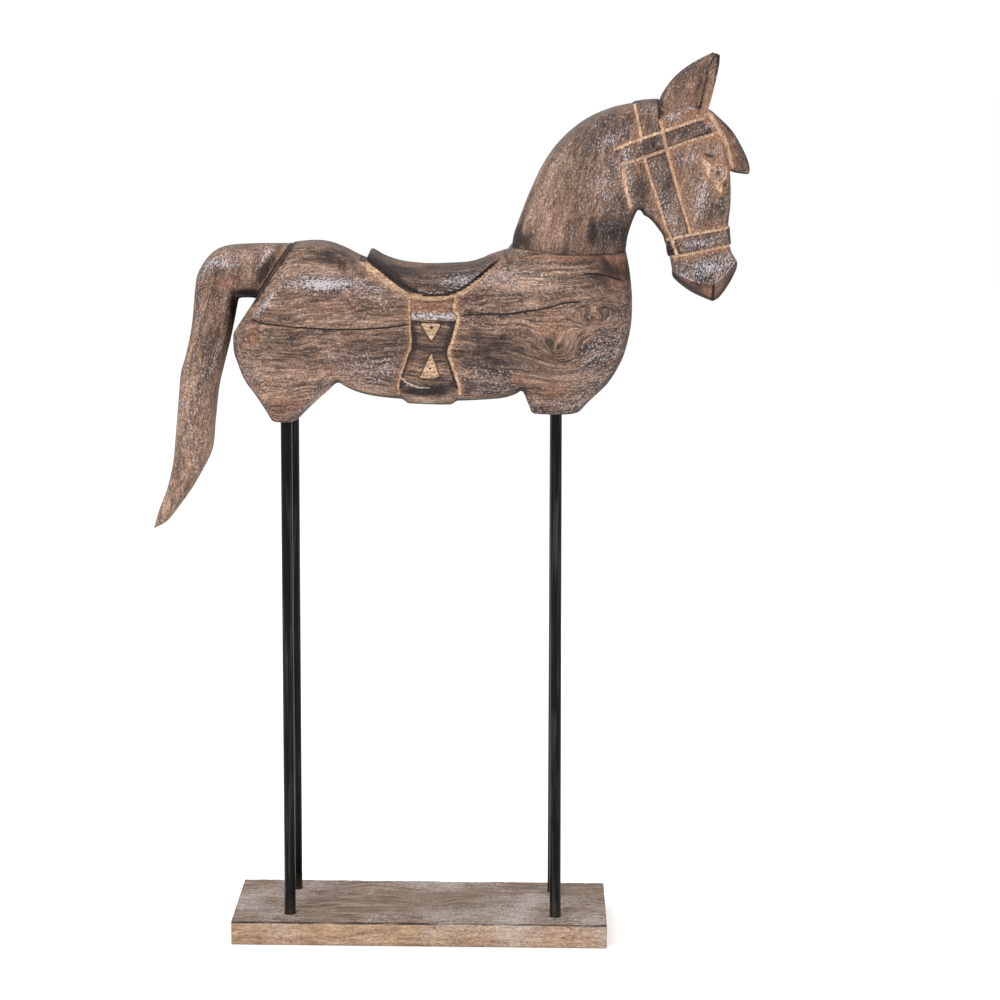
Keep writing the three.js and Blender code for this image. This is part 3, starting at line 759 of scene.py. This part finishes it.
# A painted highlight along the top edge of the girth's rolled foot.
ROLL_HIGHLIGHT = curve([(428, 76), (440, 66), (455, 60), (476, 60)], 12)  # at the foot of the girth
WITHERS = 596  # ahead of this place the trunk is cut flat for the neck

grid = loft(BODY_ROWS, BODY_WIDTH, rings=322, sides=286, crowd=0.5, finer=(360, 600, 1.4))
x, y, z = grid.transpose(2, 0, 1)
side = np.sign(y)
flank = step(np.abs(outward(grid)[..., 1]), 0.1, 0.5)  # 1 on the two broad faces, else 0

# The saddle stands above the back and flares out over the flank.
back = np.interp(x[:, 0], *curve(np.array(BODY_ROWS)[:, [0, 1]], 400).T)[:, None]
crest = np.interp(x[:, 0], *SADDLE_TOP.T, left=0, right=0)[:, None]
z = z + np.clip(crest - back, 0, None) * step(z, back - 60, back - 5)
saddle = [*SADDLE_EDGE, (606, 290), (606, 330), (366, 330), (366, 275)]
in_saddle = inside(x, z, saddle) / MM
on_saddle = step(in_saddle, -1.4, 2.0)
faded = step(x, 552, 600)  # the front of the saddle runs out into the withers
y = y + side * on_saddle * SADDLE_RISE * MM * (0.35 + 0.65 * flank) * (1 - 0.75 * faded)

# Above a ridge across the hip the rump is pared to a flat facet that leans in by 0.85 for each
# unit of height. It ends ahead of the hip, and it starts a little below the ridge without a step.
hip = np.interp(x, *HIP_RIDGE.T)
widest = np.abs(y).max(axis=1, keepdims=True)
share = 0.97 + 0.08 * step(hip - z, 0, 20)
facet = widest * share - 0.85 * np.clip(z - hip, 0, None) + 2 * np.clip(x - 335, 0, None)
y = np.where(z > hip - 20, -side * at_least(-np.abs(y), -facet, 0.8 * MM), y)

# Carving sunk in the flank: the saddle's groove, the girth and its two triangles. Each is worked
# out as a share of its depth, which runs from 0 off it to 1 on it.
to_groove = distance(x, z, SADDLE_GROOVE) / MM
groove = fall(to_groove, 0.6, 3.4) * (1 - on_saddle)
in_girth = inside(x, z, np.vstack([GIRTH_BACK, GIRTH_FRONT[::-1]])) / MM
panel = step(in_girth, -0.5, 1.5) * fall(z, PANEL_TOP - 1.5, PANEL_TOP + 1.5)
panel = panel * step(z, PANEL_FOOT - 12, PANEL_FOOT + 2)
roll = step(in_girth, -0.5, 2) * fall(z, ROLL_TOP - 22, ROLL_TOP)
ridge = step(in_girth, 0, 2) * bell(z, RIDGE, 7)
to_edges = np.minimum(distance(x, z, GIRTH_BACK), distance(x, z, GIRTH_FRONT)) / MM
notch = fall(to_edges, 0.4, 3.0) * step(z, 30, 44) * (1 - on_saddle)
in_triangle = np.maximum(*(inside(x, z, t) for t in TRIANGLES)) / MM
triangle = step(in_triangle, -0.6, 1.0)
depth = GROOVE_DEPTH * groove + PANEL_DEPTH * panel + NOTCH_DEPTH * notch
depth = depth - RIDGE_RISE * ridge + TRIANGLE_DEPTH * triangle
y = y - side * flank * depth * MM
y = y + side * roll * ROLL_RISE * MM * flank
under = fall(np.abs(y), 50, 98) * fall(z, 34, 44)
z = z - roll * step(in_girth, 0, 9) * ROLL_DROP * MM * under

x, y, z = waved(x, y, z, depth=0.35, wavelength=0.045, seed=11, sunk=0.2)

# The soles and the two glue faces are cut flat, and an arch is cut between the stubs.
for (start, end), groin, sole in ARCHES:
    arch = groin - (groin - sole + 24) * (np.abs(y) / LEG_GAP * 2) ** 5
    here = (x > start - 4) & (x < end + 4)
    z = np.where(here, at_least(z, np.maximum(sole, arch), MM), z)
seam = np.interp(x, *NECK_SEAM.T)
z = np.where(x > WITHERS, -at_least(-z, -seam, 0.5 * MM), z)
ahead, rise = ahead_of_seam(x, z)
push = at_least(ahead, SEAM_GAP * MM, 0.6 * MM) - ahead
x, z = x + push * rise[1], z - push * rise[0]
grid = np.stack([x, y, z], axis=-1)

# Bare wood shows in the groove, widest behind, along both edges of the girth, and in the
# triangles but for their pits. Painted shadows lie below the saddle's edge, inside the girth's
# edges, at the tops of the triangles and in the glue joint at the tail, and a painted highlight
# runs along the top of the girth's rolled foot.
crack, crack_open = crack_offset(x, z, CRACKS)
groove_cut = 2.6 - 1.4 * faded + 0.8 * fall(x, 400, 440)
girth_cut = np.where(x < GIRTH_MIDDLE, 1.1, 1.7)
cut = np.maximum.reduce(
    [
        groove_cut - to_groove,
        girth_cut - np.abs(in_girth + girth_cut - 0.4) - 6 * (z < 44),
        np.where(in_triangle < 0, 4, 1) * in_triangle - 6 * patches(x, z, PITS),
    ]
)
cut = np.where(in_saddle > -1.8, NO_CUT, cut)
saddle_shade = bell(in_saddle, -1.0, 1.5)
saddle_rub = bell(in_saddle, 1.6, 0.8) * step(x, 420, 450) * fall(x, 530, 560)
girth_shade = bell(in_girth, 0.9, 0.7) * step(z, 50, 70) * fall(z, 205, 215)
joint_shade = bell(ahead / MM, 2.0, 1.6) * step(z, 185, 205) * fall(x, 245, 270)
roll_highlight = bell(distance(x, z, ROLL_HIGHLIGHT) / MM, 0, 0.8)
triangle_shade = bell(in_triangle, -0.7, 0.6)
paint = coat(
    grid,
    cut=np.where(flank > 0.3, cut, NO_CUT),
    white=patches(x, z, BODY_WHITE) + 1.6 * ridge + 1.3 * saddle_rub + 2.6 * roll_highlight,
    dark=patches(x, z, BODY_DARK)
    + 0.3 * panel * (1 - triangle)
    + 0.3 * on_saddle * (1 - faded)
    + 1.3 * saddle_shade * (1 - faded)
    + 0.9 * girth_shade
    + 0.9 * triangle_shade
    - 1.2 * roll_highlight
    + 1.2 * joint_shade,
    warm=patches(x, z, BODY_WARM),
    pale=patches(x, z, BODY_PALE) - 0.6 * on_saddle * (1 - faded),
    crack=crack,
    crack_open=crack_open * flank * (1 - panel),
    sway=patches(x, z, KNOTS) * 1e-3
    + CHEST_LEAN * PART * np.clip(x - CHEST, 0, None) * step(z, 205, 235),
)
paint["grey"] *= 1 - 0.7 * on_saddle  # the seat gets less of the painted grey top light
body = skin("body_carving", ORIGIN + grid * PART, paint, aged_wood("stained hardwood, carved", 0))
drilled(body, 1, STUB_DRILL, SOCKET_ROOM)
body.data.set_sharp_from_angle(angle=SHARP)
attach(body, "root")
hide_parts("body")

# NECK AND HEAD
# One carved block, glued upright on the trunk. The bridle is cut into it: straps left standing
# between V grooves of bare wood. Both ears and the forelock are worked from the same block.

NECK_WIDTH, EAR_WIDTH, FORELOCK_WIDTH = 0.1, 0.016, 0.034
EAR_APART = 0.05 / PART
STRAP_RISE, STRAP_LIFT = 1.2, 1.6  # straps above the cheeks, and above the brow and the jaw
STRAP_GROOVE, THROAT_GROOVE, LOCK_GROOVE = 1.5, 2.2, 2.2
EYE_RISE, EYE_RIM, PUPIL_DEPTH, EYE_CORNER_DEPTH = 1.8, 1.0, 0.8, 1.8
MOUTH_DEPTH = 2.0
NECK_FRONT = 820  # what lies ahead of this place isn't over the glue seam
NECK_ROWS = [
    (608, 255, 798, 262, 100, 3.4, 3.4), (611, 300, 801, 300, 99, 3.4, 3.4),
    (619, 330, 807, 325, 96, 3.4, 3.4), (635, 371, 812, 339, 92, 3.4, 3.4),
    (659, 424, 815, 346, 88, 3.4, 3.4), (688, 464, 817, 349, 84, 3.4, 3.4),
    (723, 495, 819, 350.5, 80, 3.4, 3.4), (769, 517, 821, 350, 77, 3.4, 3.4),
    (810, 527, 824, 348, 74, 3.6, 3.4), (850, 531, 828, 342, 72, 4, 3.6),
    (893, 529, 836, 337.5, 70, 4.5, 4), (928, 519, 845.5, 329, 67, 5, 4.5),
    (947, 499, 853.5, 319, 65, 5, 5), (959, 464, 860, 309.5, 64, 5, 5),
    (968, 425, 864, 297, 62, 5, 5), (971, 395, 868, 287, 60, 5, 5),
    (971, 360, 871, 277, 57, 5, 5), (969, 325, 874, 265, 54, 5, 5),
    (974, 287, 877, 251, 51, 5, 5), (986, 262, 880, 237, 50, 5, 5),
    (979, 239, 905, 217.5, 49, 4, 4), (967, 218, 932, 203.5, 48, 4, 4),
    (957, 205, 945, 198.5, 46, 4, 4),
]
EAR_ROWS = round_alike(2.4, [
    (847, 505, 880, 488, 60), (852, 527, 919, 500, 90), (859, 544, 930, 520, 100),
    (876, 567, 937, 546, 90), (898, 586, 942, 568, 70), (922, 600, 946, 590, 46),
    (940, 609, 947, 606, 22),
])
SCOOP_ROWS = round_alike(2, [
    (908, 512, 950, 498, 44), (912, 530, 962, 512, 60), (918, 556, 968, 540, 56),
    (929, 582, 972, 568, 40), (939, 600, 970, 594, 22),
])
SCOOP_SHIFT = 5 * MM
FORELOCK_ROWS = round_alike(2.6, [
    (900, 524, 895, 500, 90), (931, 518, 918, 488, 100), (952, 502, 932, 470, 100),
    (973, 481, 945, 448, 96), (988, 457, 955, 428, 88), (998, 437, 972, 415, 76),
    (1002.5, 422, 992, 411, 56), (1002.5, 414, 999, 410.5, 34),
])
# The outlines of the straps, and the lines of the grooves beside them.
STRAPS = [
    [(806, 550), (808, 527), (811, 516), (818, 483), (820, 468), (861, 454), (855, 483),
     (851, 500), (851, 535), (853, 550)],
    [(777, 453), (819, 470), (857, 483), (916, 502), (939, 482), (901, 468), (862, 453),
     (826, 440), (789, 430)],
    [(826, 438), (838, 400), (849, 370), (863, 328), (876, 298), (905, 308), (889, 362),
     (875, 409), (862, 452)],
    [(866, 303), (880, 308), (905, 313), (964, 324), (999, 331), (1002, 300), (979, 297),
     (971, 295), (932, 287), (889, 278), (869, 274)],
]
STRAP_LINES = [
    [(808, 535), (811, 516), (818, 483), (820, 468)],
    [(851, 500), (855, 483), (861, 454)],
    [(777, 453), (819, 470), (857, 483), (923, 505), (928, 513)],
    [(789, 430), (826, 440), (862, 453), (901, 468), (945, 480)],
    [(826, 438), (838, 400), (849, 370), (863, 328), (874, 303), (883, 278)],
    [(862, 452), (875, 409), (889, 362), (905, 313)],
    [(868, 304), (880, 308), (905, 313), (964, 324), (985, 328)],
    [(874, 275), (889, 278), (932, 287), (971, 295), (985, 298)],
]
THROAT_LINE = curve([(791, 419), (796, 390), (804, 359)], 12)
FORELOCK_LINE = curve([(929, 514), (947, 487), (959, 464), (967, 439), (971, 423)], 24)
EYE, EYE_RADIUS = (947, 414), 9.8
EYE_CORNERS = [[(920, 439), (938, 428), (930, 412)], [(941, 396), (955, 397), (953, 381)]]
MUZZLE_EDGE = [
    (870, 254), (879, 249), (891, 243), (909, 236), (924, 231), (946, 230), (962, 244),
    (975, 261), (990, 280),
]
CHIN = 866  # the muzzle lies ahead of this place
MOUTH = [(945, 226), (946, 190)]

# Spots of whitewash, soot and stain, as on the trunk. Some dark spots are painted shade: in the
# hollow between the poll strap and the ear, and beside the cheek bulge below the cheek strap.
HEAD_WHITE = [
    (932, 256, 50, 22, 12, 1.2), (924, 299, 40, 8, 8, 0.7), (920, 370, 12, 45, -12, 0.9),
    (769, 470, 38, 8, 32, 0.8), (760, 395, 25, 35, 0, 0.6), (769, 320, 30, 24, 0, 0.9),
    (680, 335, 60, 60, 0, -0.3), (832, 503, 22, 24, 0, -0.8), (800, 400, 10, 45, 10, 0.7),
    (907, 440, 30, 6, 10, 0.7), (927, 491, 20, 7, 15, 0.8), (868, 506, 14, 7, 20, 1.0),
    (794, 440, 22, 14, 15, 0.5), (865, 350, 11, 42, 20, 0.5), (882, 558, 3, 22, -35, 0.9),
    (895, 517, 16, 2.5, 28, 1.3), (950, 414, 9, 9, 0, 1.6), (933, 587, 2, 18, -15, 1.5),
    (873, 255, 3, 16, 10, 1.2), (976, 245, 3, 14, -30, 0.8),
]
HEAD_DARK = [
    (739, 320, 9, 26, 0, 0.5), (770, 317, 38, 36, 0, 1.1), (625, 304, 28, 18, 0, 1.0),
    (830, 503, 26, 26, 0, -0.5), (853, 518, 6, 18, 0, 1.2),
    (988, 450, 18, 26, 30, 0.4), (880, 288, 7, 12, 0, 0.8), (932, 443, 15, 3, -15, 1.2),
    (700, 290, 10, 10, 0, 0.4), (945, 218, 2, 16, 0, 1.2), (825, 380, 4, 22, 5, 0.6),
    (959, 396, 4, 12, -20, 1.0), (900, 485, 60, 14, 12, 0.3), (912, 525, 8, 8, 40, 0.9),
]
HEAD_WARM = [
    (702, 337, 30, 40, 0, 0.3), (797, 515, 20, 12, 0, 0.6), (814, 417, 15, 14, 0, 0.7),
    (944, 329, 24, 9, 8, 0.8), (752, 385, 6, 6, 0, 0.7), (905, 540, 16, 24, 20, 0.5),
    (935, 215, 25, 9, 0, 0.7), (893, 508, 30, 6, 25, 0.9), (921, 275, 40, 6, 10, 0.7),
]
HEAD_PALE = [
    (915, 360, 40, 60, 0, -0.15), (902, 555, 34, 44, 30, -0.6), (700, 340, 90, 80, 0, 0.55),
    (932, 256, 50, 22, 12, -0.9), (720, 440, 60, 60, 0, 0.3), (765, 465, 45, 45, 0, 0.5),
    (950, 350, 14, 40, 0, 0.4),
]
EAR_VALLEY = curve([(943, 612), (929, 585), (921, 548), (915, 520)], 20)
EAR_EDGE = curve([(948, 616), (946, 592), (942, 565), (937, 540), (933, 518)], 16)

grid = loft(NECK_ROWS, NECK_WIDTH, rings=300, sides=256, crowd=0.5, finer=(800, 1000, 1.6))
x, y, z = grid.transpose(2, 0, 1)
side = np.sign(y)
flank = step(np.abs(outward(grid)[..., 1]), 0.1, 0.5)
in_strap = np.maximum.reduce([inside(x, z, s) / MM for s in STRAPS])
on_strap = step(in_strap, -0.4, 1.2)
to_strap = np.minimum.reduce([distance(x, z, line) for line in STRAP_LINES]) / MM
to_throat = distance(x, z, THROAT_LINE) / MM
to_lock = distance(x, z, FORELOCK_LINE) / MM
in_corner = np.maximum(*(inside(x, z, t) for t in EYE_CORNERS)) / MM
to_eye = np.hypot(x - EYE[0], z - EYE[1]) / MM
ball = np.sqrt(np.clip(1 - (to_eye / EYE_RADIUS) ** 2, 0, 1))
rim = bell(to_eye, EYE_RADIUS, 1.1)
pupil = bell(to_eye, 0, 2.4)
mouth = fall(distance(x, z, MOUTH) / MM, 0.3, 1.6)
depth = STRAP_GROOVE * fall(to_strap, 0.4, 2.4) + THROAT_GROOVE * fall(to_throat, 0.5, 2.8)
depth = depth + LOCK_GROOVE * fall(to_lock, 0.5, 3.0)
depth = depth + EYE_CORNER_DEPTH * step(in_corner, -0.6, 0.9)
depth = depth + EYE_RIM * rim - EYE_RISE * ball + PUPIL_DEPTH * pupil + MOUTH_DEPTH * mouth
depth = depth - STRAP_RISE * on_strap * flank
y = y - side * flank * depth * MM

# A bevel of 0.95 to 1 narrows the muzzle below its edge. The noseband and the strap at the poll
# stand proud of the narrow faces too, and no strap crosses those in between.
below_muzzle = np.interp(x, *np.array(MUZZLE_EDGE).T) - z
chamfer = at_least(below_muzzle, 0, MM) * (x > CHIN) * fall(z, 270, 290)
y = y - side * np.minimum(chamfer * 0.95, np.abs(y) * 0.8)
lead = outward(np.stack([x, y, z], axis=-1))
crossed = 1 - step(z, 335, 345) * fall(z, 490, 500)
proud = on_strap * (1 - flank) * STRAP_LIFT * MM * crossed
x, z = x + lead[..., 0] * proud, z + lead[..., 2] * proud
x, y, z = waved(x, y, z, depth=0.3, wavelength=0.04, seed=21, sunk=0.15)
seam = np.interp(x, *NECK_SEAM.T) + SEAM_GAP * MM
z = np.where(x < NECK_FRONT, at_least(z, seam, 0.5 * MM), z)
z = np.where((x < NECK_FRONT) & (z < seam + 0.01), seam, z)
grid = np.stack([x, y, z], axis=-1)

# Bare wood shows in the grooves beside the straps, at the throat, below the forelock and about the
# eye. Painted shade lies just inside the edges of the straps, and the bevel below the muzzle was
# never whitewashed.
eye_ring = 0.9 - np.abs(to_eye - EYE_RADIUS)
grooves = [1.5 - to_strap, 2.0 - to_throat, 2.2 - to_lock]
cut = np.maximum.reduce([*grooves, in_corner + 0.5, eye_ring])
strap_shade = bell(in_strap, 1.3, 0.8)
washed = fall(below_muzzle, -1, 2.5) * (x > CHIN) + (x <= CHIN)
washed = np.clip(washed + step(z, 285, 292), 0, 1)
ridge = bell(below_muzzle / MM, -0.6, 0.8) * (x > CHIN) * (z < 290)
paint = coat(
    grid,
    cut=np.where(flank > 0.2, cut, NO_CUT),
    white=(patches(x, z, HEAD_WHITE) + ridge + 0.2 + 0.7 * on_strap) * washed
    - 0.6 * (1 - washed)
    - 3 * pupil,
    dark=patches(x, z, HEAD_DARK)
    + 0.65 * on_strap
    + 0.8 * strap_shade
    + 1.2 * pupil
    + 0.3 * (1 - washed),
    warm=patches(x, z, HEAD_WARM) + 0.5 * (1 - washed),
    pale=patches(x, z, HEAD_PALE) - 0.15 + 0.15 * on_strap,
)
NECK_GRAIN = math.radians(74)  # how steeply the grain rises in the neck
NECK_CUTS = ("#9C7A62", "#DDBC9F")  # its bare wood is paler than the trunk's
head_wood = aged_wood(
    "stained hardwood, upright grain", NECK_GRAIN, length=0.6, grainy=0.6, fresh=NECK_CUTS
)
head = skin("neck_and_head_carving", ORIGIN + grid * PART, paint, head_wood)

# Each ear is hollowed by a scoop that comes in from the front and from outside. A painted shadow
# line parts its back from the hollow, painted shade blackens its front edge, and the hollow is
# lighter and barer.
joined = []
for side in (-1, 1):
    ear = loft(EAR_ROWS, EAR_WIDTH, rings=70, sides=56) + (0, side * EAR_APART / 2, 0)
    scoop = loft(SCOOP_ROWS, EAR_WIDTH, rings=64, sides=44)
    scoop = scoop + (0, side * (EAR_APART / 2 + SCOOP_SHIFT), 0)
    paints = []
    for solid in (ear, scoop):
        across, up = solid[..., 0], solid[..., 2]
        # Painted shade: a line down the valley and a black band along the front edge.
        valley = bell(distance(across, up, EAR_VALLEY) / MM, 0, 1.3)
        front = bell(distance(across, up, EAR_EDGE) / MM, 0, 1.6 + 1.4 * step(up, 560, 585))
        dark = patches(across, up, HEAD_DARK) + 0.15 + valley + 2.4 * front
        spots = [patches(across, up, p) + 0.1 for p in (HEAD_WHITE, HEAD_WARM)]
        pale = patches(across, up, HEAD_PALE)
        paints.append(coat(solid, white=spots[0], dark=dark, warm=spots[1], pale=pale))
    paints[1]["cut"] += 1.2
    paints[1]["dark"] -= 0.2
    paints[1]["pale"] += 0.3
    ear = skin("ear", ORIGIN + ear * PART, paints[0], head_wood)
    scoop = skin("scoop", ORIGIN + scoop * PART, paints[1], head_wood)
    joined.append(combined(ear, [scoop], "DIFFERENCE"))
lock = loft(FORELOCK_ROWS, FORELOCK_WIDTH, rings=70, sides=56)
across, up = lock[..., 0], lock[..., 2]
lock_cut = 2.8 - distance(across, up, FORELOCK_LINE) / MM
lock_paint = coat(lock, cut=lock_cut, white=0.3, dark=patches(across, up, HEAD_DARK) + 0.4)
joined.append(skin("forelock", ORIGIN + lock * PART, lock_paint, head_wood))
combined(head, joined, "UNION")
head.data.set_sharp_from_angle(angle=SHARP)
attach(head, "root")
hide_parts("neck_and_head")

# TAIL
# One sawn and rounded block, glued on a slanted face at the top of the rump. It bends over and
# hangs down behind, with a bevel along its inner edge.

TAIL_WIDTH = 0.054
TAIL_HANGS = 150  # below this level it hangs clear of the rump and isn't cut to the seam
TAIL_ROWS = round_alike(3, [
    (1.5, -197, 4.5, -198, 10), (11, -168, 25, -186, 28), (26, -128, 46, -161, 45),
    (36, -88, 67, -131, 56), (41, -54, 88, -95, 64), (45, -11, 105, -58, 70),
    (48, 30, 111, -10, 75), (53, 71, 117, 44, 80), (61, 98, 126, 85, 84), (70, 139, 137, 126, 90),
    (75, 176, 144, 160, 95), (79, 210, 150, 190, 98), (84, 238, 152, 196, 100),
    (97, 262, 155, 197.5, 100), (116, 279, 159, 198, 100), (142, 287, 163, 198, 100),
    (175, 289, 168, 198, 100), (210, 290, 175, 197.5, 100), (241, 290, 181, 196, 100),
    (262, 291, 193, 190, 100),
])
TAIL_BEVEL = curve(
    [
        (141, 216), (138, 160), (126, 120), (108, 66), (99, 10), (97, -42), (82, -88),
        (60, -126), (38, -158), (12, -190),
    ]
)
TAIL_WHITE = [
    (131, 259, 35, 9, 0, 1.0), (95, 245, 10, 16, 0, 0.8), (118, 110, 5, 30, -20, 0.8),
    (80, 60, 30, 90, -10, 0.35), (200, 268, 30, 6, 57, 1.5), (158, 203, 22, 4, 0, 1.5),
]
# The first two dark spots are painted shade: along the glue seam and on the downward bevel along
# the tail's lower edge beside it.
TAIL_DARK = [
    (200, 250, 46, 12, 57, 1.05), (165, 211, 18, 5, 0, 0.8), (144, 190, 4, 30, 0, 0.8),
    (104, 55, 5, 26, 0, 0.4),
]
TAIL_WARM = [(138, 228, 25, 12, 0, 0.8), (82, 6, 20, 34, 0, 0.5), (110, 175, 14, 40, 0, 0.4)]

grid = loft(TAIL_ROWS, TAIL_WIDTH, rings=330, sides=130, crowd=0.4)
x, y, z = grid.transpose(2, 0, 1)
bevelled = [*TAIL_BEVEL, (300, -190), (300, 216)]  # all that lies ahead of the bevel's edge
in_bevel = inside(x, z, bevelled)
y = y - np.sign(y) * np.minimum(at_least(in_bevel, 0, MM) * 0.9, np.abs(y) * 0.75)
x, y, z = waved(x, y, z, depth=0.35, wavelength=0.05, seed=31, sunk=0.2)
ahead, rise = ahead_of_seam(x, z)
push = np.where(z > TAIL_HANGS, -at_least(-ahead, 0, 0.5 * MM) - ahead, 0)
x = x + push / rise[1]
grid = np.stack([x, y, z], axis=-1)

# A light strip of bare wood runs beside a painted shadow line in the glue seam.
lip = bell(ahead / MM, -3.2, 1.1) * step(z, 195, 215)
seam_shade = bell(ahead / MM, -0.6, 1.0) * step(z, 190, 200)
bevel_light = 0.8 * step(in_bevel / MM, 0, 2) * fall(z, 100, 190)
paint = coat(
    grid,
    cut=NO_CUT + 6.4 * lip,
    white=patches(x, z, TAIL_WHITE) + 0.1 + 0.6 * lip,
    dark=patches(x, z, TAIL_DARK) + 1.2 * seam_shade - bevel_light,
    warm=patches(x, z, TAIL_WARM),
    pale=0.1 + 0.8 * fall(z, 60, 170) - 0.35 * fall(z, -120, -20),
)
TAIL_GRAIN = math.radians(80)
tail_wood = aged_wood("stained hardwood, hanging grain", TAIL_GRAIN, length=0.35, grainy=0.7)
tail = skin("tail_carving", ORIGIN + grid * PART, paint, tail_wood)
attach(tail, "root")
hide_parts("tail")

# PHOTOGRAPH
# A white floor that fades into a white room, large soft lamps, and the camera a little above the
# back of the horse, square to its side. Its place and turns were fitted to the corners of the base
# and to the bars.

MIDDLE = (0, 0, 0.6)  # what the lamps point at, in metres
ROOM_LIGHT = 1.04
FLOOR_REACH = 30.0
CAMERA_PLACE = (0.1202, -2.9551, 1.0549)
CAMERA_PAN, CAMERA_DIP, CAMERA_ROLL = 0.011, 0.185, 0.007  # radians
CAMERA_LENS, CAMERA_SENSOR = 96.16, 36  # millimetres


def softbox(name, place, target, size, watts):
    """A round lamp at a place, turned towards a target."""
    lamp = bpy.data.lights.new(name, "AREA")
    lamp.shape = "DISK"
    lamp.size = size
    lamp.energy = watts
    made = bpy.data.objects.new(name, lamp)
    made.visible_camera = False
    bpy.context.scene.collection.objects.link(made)
    back = np.array(place, float) - target
    back /= np.linalg.norm(back)
    across = np.cross((0, 0, 1), back)
    across /= np.linalg.norm(across)
    axes = np.stack([across, np.cross(back, across), back], axis=-1)
    made.matrix_world = Matrix.Translation(place) @ Matrix(axes.tolist()).to_4x4()


softbox("key", (-1.6, -2.4, 2.6), MIDDLE, size=1.2, watts=60)
softbox("fill", (2.4, -1.8, 1.6), MIDDLE, size=1.6, watts=12)
softbox("top", (0, 0.6, 3.0), MIDDLE, size=2.0, watts=20)

# Matt white paint, on a floor so wide that its far edge melts into the light of the room.
floor_paint = bpy.data.materials.new("matt white paint on a studio floor")
floor_paint.use_nodes = True
floor_shader = floor_paint.node_tree.nodes["Principled BSDF"]
floor_shader.inputs["Base Color"].default_value = linear("#FBFBFB")
floor_shader.inputs["Roughness"].default_value = 0.95
floor_shader.inputs["Specular IOR Level"].default_value = 0.0
mesh = bpy.data.meshes.new("floor")
corners = [(u * FLOOR_REACH, v * FLOOR_REACH, 0) for u, v in ((-1, -1), (1, -1), (1, 1), (-1, 1))]
mesh.from_pydata(corners, [], [(0, 1, 2, 3)])
mesh.materials.append(floor_paint)
floor = bpy.data.objects.new("floor", mesh)
bpy.context.scene.collection.objects.link(floor)

world = bpy.context.scene.world or bpy.data.worlds.new("studio")
bpy.context.scene.world = world
world.use_nodes = True
world.node_tree.nodes["Background"].inputs[0].default_value = (1, 1, 1, 1)
world.node_tree.nodes["Background"].inputs[1].default_value = ROOM_LIGHT

camera_data = bpy.data.cameras.new("camera")
camera_data.lens = CAMERA_LENS
camera_data.sensor_width = CAMERA_SENSOR
camera = bpy.data.objects.new("camera", camera_data)
bpy.context.scene.collection.objects.link(camera)
camera.matrix_world = (
    Matrix.Translation(CAMERA_PLACE)
    @ Matrix.Rotation(CAMERA_PAN, 4, "Z")
    @ Matrix.Rotation(math.pi / 2 - CAMERA_DIP, 4, "X")
    @ Matrix.Rotation(CAMERA_ROLL, 4, "Z")
)
bpy.context.scene.camera = camera
bpy.context.scene.view_settings.view_transform = "Standard"
